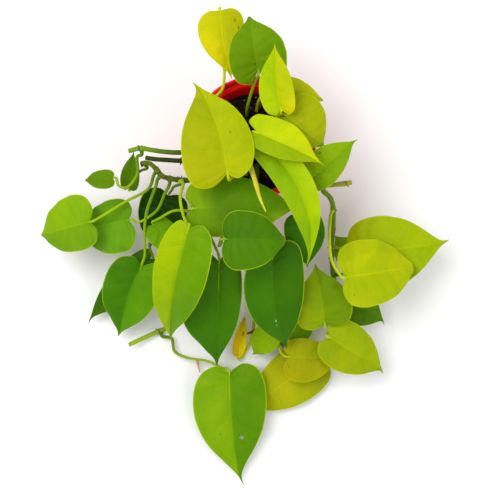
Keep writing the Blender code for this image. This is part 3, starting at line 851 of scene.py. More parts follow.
LEAVES: tuple[LeafShape, ...] = (
    LeafShape("leaf_01", (-30, 108, 114), (-20, 49, 106), 21, 20, 0, 8, 6, 2, 0.02, 1.0,
              "soil", (-30, 16),
              ((-31, 18, 86), (-38, 30, 99), (-28, 43, 99), (-27, 66, 101), (-30, 92, 107)),
              Tone.YELLOW, (194, 197, 0), (186, 188, 0)),
    LeafShape("leaf_02", (3, 52, 122), (-5, 98, 130), 27, 24, 4, 8, 4, 0, 0.22, 0.75,
              "soil", (-7, 26), ((-6, 30, 88), (-1, 42, 108)),
              Tone.GREEN, (106, 146, 2), (102, 142, 2)),
    LeafShape("leaf_03", (22, 14, 138), (17, 67, 152), 15, 17, 0, 24, 3, -2, 0.1, 1.0,
              "soil", (8, 14), ((9, 13, 90), (17, 10, 118)),
              Tone.LIME, (190, 196, 0), (172, 200, 1)),
    LeafShape("leaf_04", (15, 39, 112), (60, 29, 109), 18, 13, 0, 6, 5, 0, 0.08, 0.7,
              "soil", (2, 30), ((4, 34, 90), (10, 40, 104)),
              Tone.YELLOW, (158, 172, 0), (178, 188, 0)),
    LeafShape("leaf_05", (-23, -44, 148), (-50, 33, 154), 26, 36, 3, 5, 5, 5, 0.08, 1.0,
              "soil", (-7, -30), ((-8, -33, 90), (-14, -35, 118), (-21, -47, 136)),
              Tone.YELLOW, (170, 182, 1), (160, 170, 1)),
    LeafShape("leaf_06", (3, -9, 145), (62, -35, 128), 14, 19, -5, 10, 6, 0, 0.16, 1.6,
              "soil", (-2, -4), ((-3, -4, 92), (-5, -6, 122), (-3, -7, 138)),
              Tone.LIME, (142, 172, 6), (180, 202, 10)),
    LeafShape("leaf_07", (11, -19, 130), (46, -118, 106), 17, 16, 6, 22, 6, -15, 0.12, 1.0,
              "soil", (6, -12), ((6, -13, 92), (6, -14, 116)),
              Tone.LIME, (134, 174, 4), (156, 190, 4)),
    LeafShape("leaf_08", (27, 10, 127), (60, -14, 113), 20, 28, 0, 8, 5, 0, 0.12, 0.8,
              "soil", (16, 4), ((17, 5, 90), (21, 10, 115)),
              Tone.LIME, (140, 160, 3), (158, 172, 3)),
    LeafShape("leaf_09", (49, -41, 107), (88, -7, 118), 16, 17, 0, 14, 4, 0, 0.08, 1.0,
              "soil", (24, -8), ((25, -10, 84), (38, -28, 98.5)),
              Tone.GREEN, (120, 160, 0), (133, 170, 0)),
    LeafShape("leaf_10", (-52, -67, 113), (40, -66, 109), 25, 28, 2, 3, 4, 0, 0.08, 0.85,
              "soil", (-15, -20), ((-16, -22, 80), (-29, -34, 95), (-39, -44, 101), (-51, -58, 106)),
              Tone.GREEN, (110, 150, 2), (125, 161, 4)),
    LeafShape("leaf_11", (-25, -96, 126), (26, -97, 122), 26, 25, 2, 4, 3, 0, 0.05, 0.5,
              "soil", (-3, -32), ((-4, -36, 84), (-14, -56, 102), (-30, -96, 104), (-28, -97, 116)),
              Tone.GREEN, (76, 124, 0), (69, 117, 0)),
    LeafShape("leaf_12", (-56, -88, 130), (-75, -180, 46), 21, 29, 4, 20, 14, 3, 0.05, 1.35,
              "vine_left_low", 0.52, ((-62, -44, 104), (-64, -58, 112), (-61, -74, 116), (-57, -83, 124)),
              Tone.LIME, (150, 182, 2), (104, 152, 1)),
    LeafShape("leaf_13", (-103, -110, 48), (-125, -171, 12), 27, 27, 2, 12, 6, 2, 0.1, 1.0,
              "vine_left_low", 0.7, ((-88, -42, 78), (-96, -62, 70), (-99, -80, 60), (-99, -98, 52)),
              Tone.DARK, (68, 126, 2), (92, 150, 0)),
    LeafShape("leaf_14", (41, -72, 93), (47, -113, 68), 17, 19, 0, 8, 4, 0, 0.08, 1.0,
              "vine_right", 0.57, ((44, -52, 92), (41, -64, 91)),
              Tone.DARK, (53, 108, 1), (53, 108, 1)),
    LeafShape("leaf_15", (16, -105, 92), (31, -183, 38), 26, 29, 0, 12, 10, 7, 0.1, 1.0,
              "vine_front", 0.4, ((4, -82, 70), (11, -97, 84)),
              Tone.DARK, (57, 115, 0), (53, 106, 2)),
    LeafShape("leaf_16", (-31, -110, 84), (-34, -199, 30), 37, 21, -2, 12, 8, 0, 0.1, 1.0,
              "vine_front_left", 0.4, ((-42, -82, 78), (-34, -98, 84)),
              Tone.DARK, (60, 117, 2), (62, 118, 1)),
    LeafShape("leaf_17", (-23, -205, 23), (-12, -307, 5), 34, 34, 0, 8, 5, 3, 0.075, 1.2,
              "vine_front_left", 0.8,
              ((-77, -172, 7), (-74, -184, 8), (-62, -190, 10), (-44, -193, 13), (-31, -199, 18)),
              Tone.GREEN, (121, 164, 1), (88, 138, 0)),
    LeafShape("leaf_18", (57, -192, 12), (-12, -242, 4.5), 25, 26, 0, 3, 3, 0, 0.08, 1.0,
              "vine_front", 0.97, ((64, -196, 7.5), (63, -193, 9)),
              Tone.YELLOW, (162, 170, 0), (162, 170, 0)),
    LeafShape("leaf_19", (32, -190, 30), (81, -191, 26), 23, 17, 4, 6, 3, 0, 0.1, 1.0,
              "vine_front", 0.78, ((20, -170, 14), (24, -185, 25)),
              Tone.YELLOW, (152, 156, 0), (152, 160, 0)),
    LeafShape("leaf_20", (68, -174, 48), (119, -203, 28), 23, 23, 0, 8, 4, 0, 0.1, 1.0,
              "vine_right_low", 0.9, ((86, -164, 14), (72, -164, 30), (65, -171, 42)),
              Tone.YELLOW, (150, 167, 3), (150, 172, 3)),
    LeafShape("leaf_21", (63, -161, 52), (54, -108, 62), 27, 26, 0, 12, 5, 0, 0.09, 1.0,
              "vine_right_low", 0.78, ((74, -142, 14), (66, -158, 30), (64, -165, 46)),
              Tone.LIME, (112, 146, 1), (134, 160, 0)),
    LeafShape("leaf_22", (81, -123, 80), (143, -112, 62), 29, 31, 0, 7, 4, 0, 0.09, 0.55,
              "vine_right_low", 0.27, ((67, -70, 80), (66, -90, 82), (68, -108, 80), (74, -119, 79)),
              Tone.YELLOW, (171, 186, 0), (171, 186, 0)),
    LeafShape("leaf_23", (93, -98, 46), (177, -88, 50), 35, 32, 3, 8, 6, 0, 0.08, 1.0,
              "vine_right_low", 0.45, ((80, -92, 36), (87, -98, 42)),
              Tone.YELLOW, (150, 178, 3), (158, 183, 3)),
    LeafShape("leaf_24", (81, -138, 30), (122, -156, 15), 18, 18, 0, 10, 3, 0, 0.08, 1.0,
              "vine_right_low", 0.7, ((80, -134, 14), (78, -136, 25)),
              Tone.DARK, (76, 122, 2), (80, 126, 2)),
    LeafShape("leaf_25", (92, -100, 24), (73, -78, 34), 14, 14, 0, 8, 3, 0, 0.08, 1.0,
              "vine_right_low", 0.58, ((82, -112, 14), (92, -106, 19)),
              Tone.DARK, (120, 165, 2), (114, 158, 2)),
    LeafShape("leaf_26", (-148, -71, 64), (-195, -81, 40), 28, 24, 0, 9, 5, 0, 0.09, 0.75,
              "vine_left_low", 0.78, ((-96, -42, 66), (-116, -52, 61), (-138, -66, 62)),
              Tone.GREEN, (130, 174, 10), (114, 160, 10)),
    LeafShape("leaf_27", (-115, -67, 50), (-162, -75, 28), 22, 29, 0, 9, 4, 0, 0.1, 0.75,
              "vine_left_low", 0.62, ((-80, -48, 76), (-88, -60, 60), (-104, -69, 51)),
              Tone.GREEN, (100, 155, 20), (109, 164, 26)),
    LeafShape("leaf_28", (-126, -35, 84), (-151, -36, 78), 8, 10, 0, 14, 2, 0, 0.08, 0.7,
              "vine_left", 0.86, ((-104, -17, 87), (-104, -30, 80), (-112, -42, 80), (-120, -42, 83)),
              Tone.GREEN, (93, 134, 0), (93, 134, 0)),
    LeafShape("leaf_29", (-113, -39, 62), (-108, -8, 74), 9, 9, 0, 16, 3, 0, 0.09, 1.0,
              "vine_left_low", 0.96, ((-105, -24, 56), (-111, -38, 58)),
              Tone.GREEN, (79, 120, 2), (79, 120, 2)),
    LeafShape("leaf_30", (-79, -44, 44), (-97, -88, 20), 23, 23, 0, 10, 4, 0, 0.08, 1.0,
              "vine_left_low", 0.56, ((-72, -40, 70), (-75, -40, 54)),
              Tone.DARK, (22, 66, 4), (22, 66, 4)),
    LeafShape("leaf_31", (-90, -73, 58), (-62, -102, 46), 14, 13, 0, 10, 3, 0, 0.08, 1.0,
              "vine_front_left", 0.38, ((-56, -64, 76), (-72, -62, 70), (-86, -68, 62)),
              Tone.GREEN, (106, 162, 1), (96, 152, 1)),
    LeafShape("leaf_32", (16, -166, 30), (-1, -188, 10), 13, 13, 0, 12, 3, 0, 0.08, 1.0,
              "vine_front", 0.7, ((10, -150, 14), (14, -162, 24)),
              Tone.GREEN, (126, 168, 2), (126, 168, 2)),
    LeafShape("leaf_33", (38, -159, 26), (48, -177, 14), 14, 14, 0, 10, 2, 0, 0.08, 1.0,
              "vine_front", 0.74, ((22, -150, 10), (33, -152, 19)),
              Tone.DARK, (110, 160, 2), (104, 152, 2)),
    LeafShape("leaf_34", (-96, -101, 33), (-157, -156, 8), 15, 17, 0, 14, 6, 0, 0.08, 1.0,
              "vine_front_left", 0.46, ((-72, -84, 46), (-86, -82, 47), (-96, -88, 43)),
              Tone.DARK, (58, 106, 8), (58, 106, 8)),
    LeafShape("leaf_35", (-15, -187, 9), (-8, -148, 16), 6, 7, 0, 22, 2, 0, 0.05, 1.0,
              "vine_front", 0.66, ((0, -150, 5), (-3, -172, 4), (-12, -190, 5)),
              Tone.WITHERED, (222, 208, 16), (216, 184, 16)),
)

# Small blemishes, and painted shadows that leaves above cast on leaf_07 and leaf_10: place along a row, place
# across (right half positive), size in millimetres, colour.
MARKS_AND_SHADOWS: dict[str, tuple[tuple[float, float, float, Colour], ...]] = {
    "leaf_01": ((0.42, -0.62, 1.8, (150, 130, 20)), (0.50, -0.75, 1.0, (120, 96, 20))),
    "leaf_02": ((0.36, -0.1, 1.2, (52, 84, 6)), (0.80, 0.45, 0.8, (60, 84, 8))),
    "leaf_05": ((0.55, 0.35, 0.9, (120, 120, 20)),),
    # Painted shadow of the leaf above, near leaf_07's base.
    "leaf_07": ((0.08, 0.45, 13.0, (104, 148, 4)),),
    # Painted shadow of the leaves above, over part of leaf_10.
    "leaf_10": ((0.62, -0.35, 34.0, (74, 120, 1)),),
    "leaf_09": ((0.55, -0.72, 1.0, (70, 80, 20)), (0.50, -0.80, 0.8, (70, 80, 20))),
    "leaf_11": ((0.13, 0.10, 1.1, (88, 60, 24)),),
    "leaf_14": ((0.20, -0.55, 0.9, (170, 190, 150)), (0.16, -0.50, 0.7, (170, 190, 150)),
                (0.24, -0.62, 0.7, (170, 190, 150))),
    "leaf_15": ((0.70, 0.06, 1.0, (180, 190, 170)), (0.73, 0.10, 0.7, (180, 190, 170))),
    "leaf_16": ((0.30, -0.12, 1.7, (146, 110, 50)),),
    "leaf_17": ((0.30, -0.55, 0.8, (60, 96, 10)), (0.62, 0.40, 0.8, (70, 106, 10))),
    "leaf_19": ((0.22, 0.55, 1.1, (110, 90, 20)), (0.26, 0.62, 0.9, (110, 90, 20))),
    "leaf_22": ((0.34, 0.66, 1.0, (130, 120, 20)),),
    "leaf_35": ((0.62, 0.30, 1.8, (150, 96, 20)), (0.88, -0.2, 2.6, (120, 70, 18)),
                (0.2, -0.4, 1.2, (170, 110, 20))),
}
# How far a drip tip hooks sideways, in millimetres.
HOOKS: dict[str, float] = {"leaf_05": -2.0, "leaf_07": 3.0, "leaf_09": 1.5, "leaf_12": -2.5, "leaf_13": 2.0,
                           "leaf_15": 2.0, "leaf_17": -3.0, "leaf_20": 3.0, "leaf_23": -3.0, "leaf_24": 4.0,
                           "leaf_26": 2.0, "leaf_32": 2.0, "leaf_34": -3.5}
HOLES: dict[str, tuple[float, float, float, float]] = {"leaf_17": (-11.5, -263.0, 18.0, 1.9)}


@dataclass
class Leaf:
    """A heart-shaped blade with veins pressed into it, on a stalk that runs on as its midrib."""

    shape: LeafShape
    vines: dict[str, Vine]
    rows: int = 60
    shares: int = 11
    thickness: float = 0.5

    def __post_init__(self) -> None:
        """Works out the blade's own axes."""
        s = self.shape
        self.base, tip = np.array(s.base, float), np.array(s.tip, float)
        self.length = float(np.linalg.norm(tip - self.base))
        self.along = (tip - self.base) / self.length
        up = np.array([0.0, 0.0, 1.0])
        up -= self.along * up.dot(self.along)
        up /= np.linalg.norm(up)
        side = np.cross(self.along, up)
        turn = math.radians(s.roll)
        self.normal = up * math.cos(turn) + side * math.sin(turn)
        self.across = side * math.cos(turn) - up * math.sin(turn)

    def midrib(self, x: Union[float, np.ndarray]) -> np.ndarray:
        """Points of the midrib.

        Args:
            x: stations from 0 at the stalk to 1 at the tip.

        Returns:
            One point for each station.
        """
        x = np.atleast_1d(np.asarray(x, float))[:, None]
        bow = 4 * x * (1 - x)
        return (self.base + self.along * self.length * x + self.normal * self.shape.arch * bow
                + self.across * (self.shape.sweep * bow + HOOKS.get(self.shape.name, 0.0) * x ** HOOK_POWER))

    def blade(self, hand: int) -> tuple[np.ndarray, np.ndarray, np.ndarray]:
        """Grid of one half of the blade.

        Args:
            hand: 1 for the right half, -1 for the left.

        Returns:
            Points (row, share, 3), and each one's row and share from 0 to 1.
        """
        s = self.shape
        curve, place = smooth_path([tuple(m) for m in MARGIN], 6)
        wanted = np.linspace(0, 1, self.rows + 1)[:, None]
        x, across, station = (np.interp(wanted, place, curve[:, k]) for k in range(3))
        across = np.maximum(across, 0.0)
        soft = np.clip((x - 0.2) / 0.2, 0, 1)
        across = across ** (1 + (s.full - 1) * soft)
        share = (np.linspace(0, 1, self.shares + 1) ** 0.9)[None, :]
        beside = np.maximum(0.0, 1 - np.maximum(x, 0) / LOBE_LENGTH) ** 2
        back = (s.lobes - LOBE_REACH) * np.minimum(1.0, across / 0.3) * beside
        place_x = station + (x - back - station) * share
        wide = across * share
        width = s.right if hand == 1 else s.left
        lift = width * (math.sin(math.radians(s.fold)) * wide - CUP * wide ** 2)
        lift = lift + 0.035 * width * wide * np.sin(9 * place_x + 2 * hand)
        lift = lift + self._relief(wanted, share, wide, width, place_x, hand)
        points = (self.midrib(place_x.ravel()).reshape(*place_x.shape, 3)
                  + self.across * (hand * width * math.cos(math.radians(s.fold)) * wide)[..., None]
                  + self.normal * lift[..., None])
        return points, np.broadcast_to(wanted, place_x.shape), np.broadcast_to(share, place_x.shape)

    def _relief(self, row: np.ndarray, share: np.ndarray, wide: np.ndarray, width: float,
                x: np.ndarray, hand: int) -> np.ndarray:
        """Grooves of the midrib and side veins, swells between them, and a slightly wavy margin.

        Args:
            row: row places.
            share: places across.
            wide: distance across as a share of the half width.
            width: half width.
            x: station of each point.
            hand: which half.

        Returns:
            Height above the smooth blade.
        """
        size = width / 28.0
        groove = -0.55 * size * np.exp(-((wide * width) / (1.5 * size)) ** 2) * (1 - row) ** 0.4
        beat = np.abs(np.modf(row * VEINS + 1 - share * VEIN_SWEEP)[0] - 0.5) * 2
        body = np.sin(math.pi * np.clip(share, 0, 1)) ** 0.7
        body = body * np.sin(math.pi * np.clip(row * 0.96 + 0.02, 0, 1)) ** 0.5
        veins = size * body * (0.62 * (1 - beat) - 0.50 * beat ** 6)
        phase = 1.7 * hand + 13 * self.length
        wave = size * (0.7 * np.sin(26 * x + phase) + 1.0 * np.sin(11 * x + 2 * phase))
        wave = wave * share ** 2.5 * np.minimum(1, wide * 2.2)
        return groove + veins + wave

    def _add_blade(self, surface: Surface) -> None:
        """Adds the blade as one closed skin.

        Args:
            surface: where it goes.
        """
        right, rows, shares = self.blade(1)
        left, _, _ = self.blade(-1)
        grid = np.concatenate([left[:, :0:-1], right], axis=1)
        share = np.concatenate([-shares[:, :0:-1], shares], axis=1)
        row = np.concatenate([rows[:, :0:-1], rows], axis=1)
        count, wide = grid.shape[:2]
        slant = np.cross(np.gradient(grid, axis=1)[1:-1], np.gradient(grid, axis=0)[1:-1])
        slant /= np.maximum(np.linalg.norm(slant, axis=2), 1e-9)[..., None]
        slant *= np.sign((slant @ self.normal).mean())
        inner = grid[1:-1]
        half = self.thickness * 0.5 * (1 - 0.45 * np.abs(share[1:-1]) ** 3)[..., None]
        n = inner.shape[0] * wide
        tops = (inner + slant * half).reshape(-1, 3)
        lows = (inner - slant * half).reshape(-1, 3)
        points = np.vstack([tops, lows, grid[:1, wide // 2], grid[-1:, wide // 2]])
        run = np.column_stack([row[1:-1].ravel(), (share[1:-1].ravel() + 1) / 2])
        run = np.vstack([run, run, (0, 0.5), (1, 0.5)])
        side = np.column_stack([np.concatenate([np.zeros(n), np.ones(n), [0, 0]]), np.zeros(2 * n + 2)])
        faces: list[tuple[int, ...]] = []
        inner_rows = inner.shape[0]
        base, tip = 2 * n, 2 * n + 1
        for layer, flip in ((0, False), (n, True)):
            for i in range(inner_rows - 1):
                for k in range(wide - 1):
                    a = layer + i * wide + k
                    quad = (a, a + 1, a + wide + 1, a + wide)
                    faces.append(quad[::-1] if flip else quad)
            for k in range(wide - 1):
                for end, at in ((base, layer + k), (tip, layer + (inner_rows - 1) * wide + k)):
                    tri = (end, at + 1, at) if (end == base) != flip else (end, at, at + 1)
                    faces.append(tri)
        for k in (0, wide - 1):
            for i in range(inner_rows - 1):
                a, b = i * wide + k, (i + 1) * wide + k
                faces.append((a, b, n + b, n + a))
            faces.append((base, k, n + k))
            last = (inner_rows - 1) * wide + k
            faces.append((tip, last, n + last))
        surface.add(points, run, side, faces, 0)

    def _add_stalk(self, surface: Surface) -> None:
        """Adds the stalk: a clasping foot, a slim round run, a swollen joint, and the midrib under the blade.

        Args:
            surface: where it goes.
        """
        s = self.shape
        if s.host == "soil":
            start = np.array([*s.spot, SOIL_TOP - STALK_SUNK])
            away = np.array([0.0, 0.0, 1.0])
        else:
            centre, along = self.vines[s.host].centre(s.spot)
            away = np.array(s.via[0]) - centre
            away -= along * away.dot(along)
            away /= np.linalg.norm(away)
            start = centre + away * VINE_RADIUS * 0.5
        clear = VINE_RADIUS * NODE_SWELL + STALK_GAP
        joint = self.midrib(0.0)[0] - self.along * 3 - self.normal * 1.5
        ribs = [self.midrib(x)[0] - self.normal * drop
                for x, drop in ((0.05, 1.0), (0.2, 0.75), (0.45, 0.6), (0.7, 0.5))]
        first = start + away * (6.0 if s.host == "soil" else clear + 1.8)
        path, place = smooth_path([start, first, *s.via, joint, *ribs], 7)
        spans = len(s.via) + 6
        at_joint = (spans - 4) / spans
        radii = STALK_RADIUS * (1.28 - 0.42 * np.minimum(place / at_joint, 1))
        radii += 0.5 * np.exp(-(place / 0.05) ** 2)
        radii *= 1 + 0.22 * np.exp(-((place - at_joint * 0.97) / 0.035) ** 2)
        fade = np.clip((place - at_joint) / (1 - at_joint), 0, 1)
        radii *= 1 - 0.82 * fade ** 0.8
        run = np.minimum(place / at_joint, 1.0)
        ring = 0.9 * np.exp(-(place / 0.02) ** 2) if s.host != "soil" else np.zeros(len(place))
        add_tube(surface, path, radii, run, ring, 10, 1, 0.05)

    def build(self) -> bpy.types.Object:
        """Makes the leaf's mesh.

        Returns:
            The leaf, blade and stalk in one piece.
        """
        s = self.shape
        surface = Surface()
        self._add_blade(surface)
        self._add_stalk(surface)
        skin = LeafFinish(s.name + "_skin", s.right_colour_and_shade, s.left_colour_and_shade, self.length, (s.right + s.left) / 2,
                          MARKS_AND_SHADOWS.get(s.name, ()))
        tint = tuple(0.5 * (a + b) for a, b in zip(s.right_colour_and_shade, s.left_colour_and_shade))
        young = tuple(0.5 * c + 0.5 * t for c, t in zip(tint, (190, 205, 40)))
        foot = (152, 174, 28) if s.tone in (Tone.YELLOW, Tone.LIME) else (84, 118, 24)
        stalk = StemFinish(s.name + "_stalk", foot, young, 0.45, 1.0, 0.5, 0.2)
        piece = surface.piece(s.name + "_leaf", [skin.build(), stalk.build()])
        if s.name in HOLES:
            punch(piece, *HOLES[s.name])
        settle(piece, s.tone.value, s.name)
        return piece


def punch(piece: bpy.types.Object, x: float, y: float, z: float, radius: float) -> None:
    """Cuts a small upright, slightly oval hole.

    Args:
        piece: the leaf or pot.
        x: hole centre.
        y: hole centre.
        z: height of the surface there.
        radius: hole radius.
    """
    drill = bmesh.new()
    bmesh.ops.create_cone(drill, cap_ends=True, segments=20, radius1=radius * MM,
                          radius2=radius * 0.9 * MM, depth=0.03)
    for vertex in drill.verts:
        angle = math.atan2(vertex.co.y, vertex.co.x)
        vertex.co.x *= 1 + 0.18 * math.cos(2 * angle + 0.6)
        vertex.co += Vector((x, y, z)) * MM
    mesh = bpy.data.meshes.new("drill")
    drill.to_mesh(mesh)
    drill.free()
    tool = bpy.data.objects.new("drill", mesh)
    bpy.context.scene.collection.objects.link(tool)
    cut = piece.modifiers.new("hole", "BOOLEAN")
    cut.operation, cut.solver, cut.object = "DIFFERENCE", "EXACT", tool
    bpy.context.view_layer.update()
    result = bpy.data.meshes.new_from_object(piece.evaluated_get(bpy.context.evaluated_depsgraph_get()))
    piece.modifiers.clear()
    piece.data = result
    bpy.data.objects.remove(tool, do_unlink=True)


# Shoot, root and dry stem


@dataclass
class Slender:
    """A slim piece with no blade: a rolled new leaf, a hanging root or a dry stem."""

    name: str
    waypoints: tuple[Point, ...]
    first: float
    last: float
    middle: float
    slot: str
    finish: StemFinish
    bends: float = 0.0

    def build(self) -> bpy.types.Object:
        """Makes the piece.

        Returns:
            The piece.
        """
        path, place = smooth_path(self.waypoints, 10)
        radii = self.first + (self.last - self.first) * place
        radii = radii + (self.middle - (self.first + self.last) / 2) * 4 * place * (1 - place)
        radii *= 1 + self.bends * np.sin(37 * place) * np.sin(11 * place)
        surface = Surface()
        add_tube(surface, path, radii, place, 0.6 * np.exp(-((place - 0.45) / 0.02) ** 2), 12, 0, 0.16)
        piece = surface.piece(self.name + "_piece", [self.finish.build()])
        settle(piece, self.slot, self.name)
        return piece


# Pot and soil


@dataclass
class Pot:
    """Tapered moulded pot: thin wall, stepped-out collar with a beaded lip, flat base with drain holes."""

    foot: float = 38.0
    shoulder: float = 49.3
    shoulder_height: float = 84.5
    inside_top: float = 85.4
    inside_foot: float = 3.0
    wall: float = 1.6
    sides: int = 128
    holes: int = 8
    hole_radius: float = 4.0
    hole_ring: float = 28.0
    finish: PotFinish = PotFinish()

    def inner(self, height: float) -> float:
        """Inside radius of the tapered wall.

        Args:
            height: height above the ground.

        Returns:
            The radius there.
        """
        low, high = self.foot - self.wall, self.shoulder - self.wall
        return low + (high - low) * (height - self.inside_foot) / (self.inside_top - self.inside_foot)

    def profile(self) -> list[tuple[float, float, float]]:
        """Rings from the base's middle up the outside, over the lip and down the inside.

        Returns:
            Radius, height and side value of each ring.
        """
        top, low = 84.6, 4.0
        outer = [(0, 0, 0), (20, 0, 0), (36.0, 0, 0), (37.0, 0, 0), (37.7, 0.25, 0), (38.0, 1.0, 0)]
        for k in range(1, 12):
            z = 1.0 + (self.shoulder_height - 1.0) * k / 12
            outer.append((self.foot + (self.shoulder - self.foot) * k / 12, z, 0))
        outer += [(49.25, 84.0, 0), (49.6, 84.9, 0), (50.4, 85.4, 0), (52.2, 86.0, 0), (53.1, 86.6, 0),
                  (53.55, 87.4, 0), (53.75, 88.4, 0), (54.15, 92.4, 0), (54.3, 92.95, 0), (54.8, 93.15, 0),
                  (55.0, 93.6, 0), (55.0, 94.4, 0), (54.7, 94.85, 0), (54.2, 95.0, 0), (53.1, 95.0, 0.5),
                  (52.6, 94.8, 1), (52.4, 94.3, 1), (52.0, 88.8, 1), (51.7, 87.9, 1), (51.0, 87.2, 1),
                  (48.8, 86.1, 1), (48.0, 85.5, 1), (self.inner(top), top, 1)]
        for k in range(1, 10):
            z = top - (top - low) * k / 10
            outer.append((self.inner(z), z, 1))
        outer += [(self.inner(low), low, 1), (36.2, 2.7, 1), (35.4, 2.05, 1), (20, 2.0, 1), (0, 2.0, 1)]
        return outer

    def build(self) -> bpy.types.Object:
        """Makes the pot.

        Returns:
            The pot.
        """
        surface = Surface()
        lathe(surface, self.profile(), self.sides)
        piece = surface.piece("pot_shell", [self.finish.build()], 40.0)
        for k in range(self.holes):
            angle = 2 * math.pi * (k + 0.5) / self.holes
            x, y = self.hole_ring * math.cos(angle), self.hole_ring * math.sin(angle)
            punch(piece, x, y, 1.0, self.hole_radius)
        settle(piece, "pot_red", "pot")
        return piece


@dataclass
class Soil:
    """Root ball with a lumpy top, loose crumbs, bark bits, pale grains and fibres."""

    pot: Pot
    top: float = SOIL_TOP
    crumbs: int = 620
    seed: int = 7

    def _height(self, x: float, y: float) -> float:
        """Height of the lumpy top.

        Args:
            x: place on the soil.
            y: place on the soil.

        Returns:
            The height there.
        """
        broad = noise.noise(Vector((x * 0.05, y * 0.05, 3.1))) * 2.2
        lump = noise.noise(Vector((x * 0.22, y * 0.22, 7.7))) * 1.5
        grit = noise.noise(Vector((x * 0.9, y * 0.9, 1.3))) * 0.6
        reach = math.hypot(x, y) / self.pot.inner(self.top)
        return self.top + (broad + lump + grit) * (1 - reach ** 6) - 1.2 * reach ** 4 + 0.6

    def body(self) -> bpy.types.Object:
        """Makes the root ball.

        Returns:
            The root ball.
        """
        rings, sides = 46, 120
        edge = self.pot.inner(self.top) - 0.3
        points, faces = [(0.0, 0.0, self._height(0, 0))], []
        for r in range(1, rings + 1):
            radius = edge * r / rings
            for k in range(sides):
                a = 2 * math.pi * k / sides
                x, y = radius * math.cos(a), radius * math.sin(a)
                points.append((x, y, self._height(x, y)))
        low = self.pot.inner(5)
        for radius, z in ((self.pot.inner(40) - 0.3, 40.0), (low - 0.5, 5.0), (low - 2, 2.4)):
            points += [(radius * math.cos(a), radius * math.sin(a), z)
                       for a in (2 * math.pi * k / sides for k in range(sides))]
        points.append((0.0, 0.0, 2.4))
        for k in range(sides):
            m = (k + 1) % sides
            faces.append((0, 1 + k, 1 + m))
            for r in range(rings + 2):
                a = 1 + r * sides
                faces.append((a + k, a + sides + k, a + sides + m, a + m))
            last = 1 + (rings + 2) * sides
            faces.append((len(points) - 1, last + m, last + k))
        surface = Surface()
        blank = np.zeros((len(points), 2))
        surface.add(np.array(points), blank, blank, faces)
        finish = GritFinish("soil_mix", (10, 6, 4), (50, 34, 22), 420.0)
        piece = surface.piece("soil_ball", [finish.build()], 60.0)
        settle(piece, "soil_mix", "soil")
        return piece

    def scatter(self, name: str, count: int, size: tuple[float, float], squash: float, finish: GritFinish,
                seed: int) -> bpy.types.Object:
        """Strews small rough stones over the top.

        Args:
            name: the piece's name.
            count: how many.
            size: smallest and largest radius.
            squash: height as a share of the width.
            finish: their finish.
            seed: random seed.

        Returns:
            The piece.
        """
        rng = np.random.default_rng(seed)
        surface = Surface()
        reach = self.pot.inner(self.top) - 2.2
        for _ in range(count):
            radius = reach * math.sqrt(rng.random())
            angle = rng.random() * 2 * math.pi
            x, y = radius * math.cos(angle), radius * math.sin(angle)
            grain = size[0] + (size[1] - size[0]) * rng.random() ** 2.5
            cloud = rng.normal(size=(13, 3))
            cloud /= np.linalg.norm(cloud, axis=1)[:, None]
            cloud *= grain * (0.75 + 0.35 * rng.random((13, 1)))
            cloud[:, 2] *= squash
            cloud += (x, y, self._height(x, y) + grain * squash * 0.35)
            work = bmesh.new()
            for point in cloud:
                work.verts.new(point)
            bmesh.ops.convex_hull(work, input=work.verts)
            loose = [v for v in work.verts if not v.link_faces]
            bmesh.ops.delete(work, geom=loose, context="VERTS")
            work.verts.index_update()
            points = np.array([v.co[:] for v in work.verts])
            faces = [[v.index for v in f.verts] for f in work.faces]
            work.free()
            blank = np.zeros((len(points), 2))
            surface.add(points, blank, blank, faces)
        piece = surface.piece(name, [finish.build()], 25.0)
        settle(piece, "soil_mix")
        return piece

    def fibres(self, count: int = 46) -> bpy.types.Object:
        """Makes short curled fibres and thin roots on the top.

        Args:
            count: how many.

        Returns:
            The piece.
        """
        rng = np.random.default_rng(self.seed + 50)
        surface = Surface()
        reach = self.pot.inner(self.top) - 7
        for _ in range(count):
            radius, angle = reach * math.sqrt(rng.random()), rng.random() * 2 * math.pi
            x, y, turn = radius * math.cos(angle), radius * math.sin(angle), rng.random() * 6.28
            span, curl = 3 + 7 * rng.random(), rng.normal() * 0.5
            ways = []
            for t in np.linspace(-0.5, 0.5, 4):
                a = turn + curl * t * 2
                px, py = x + span * t * math.cos(a), y + span * t * math.sin(a)
                ways.append((px, py, self._height(px, py) + 0.5 + 0.9 * (0.25 - t * t) * rng.random()))
            path, place = smooth_path(ways, 4)
            radii = np.full(len(path), 0.18 + 0.16 * rng.random())
            add_tube(surface, path, radii, place, np.zeros(len(path)), 5, 0)
        finish = GritFinish("soil_fibre", (96, 62, 34), (168, 124, 78), 300.0, 0.8)
        piece = surface.piece("soil_fibres", [finish.build()])
        settle(piece, "soil_mix")
        return piece

    def build(self) -> list[bpy.types.Object]:
        """Makes the root ball and everything strewn on it.

        Returns:
            All its pieces.
        """
        return [
            self.body(),
            self.scatter("soil_crumbs", self.crumbs, (0.5, 2.1), 0.75,
                         GritFinish("soil_crumb", (9, 6, 4), (56, 38, 24), 500.0), self.seed),
            self.scatter("soil_bark", 34, (1.0, 2.8), 0.42,
                         GritFinish("soil_bark", (60, 36, 20), (128, 86, 50), 300.0), self.seed + 1),
            self.scatter("soil_grains", 26, (0.5, 1.2), 0.9,
                         GritFinish("soil_grain", (186, 178, 160), (222, 216, 202), 300.0, 0.8),
                         self.seed + 2),
            self.fibres(),
        ]


# Studio


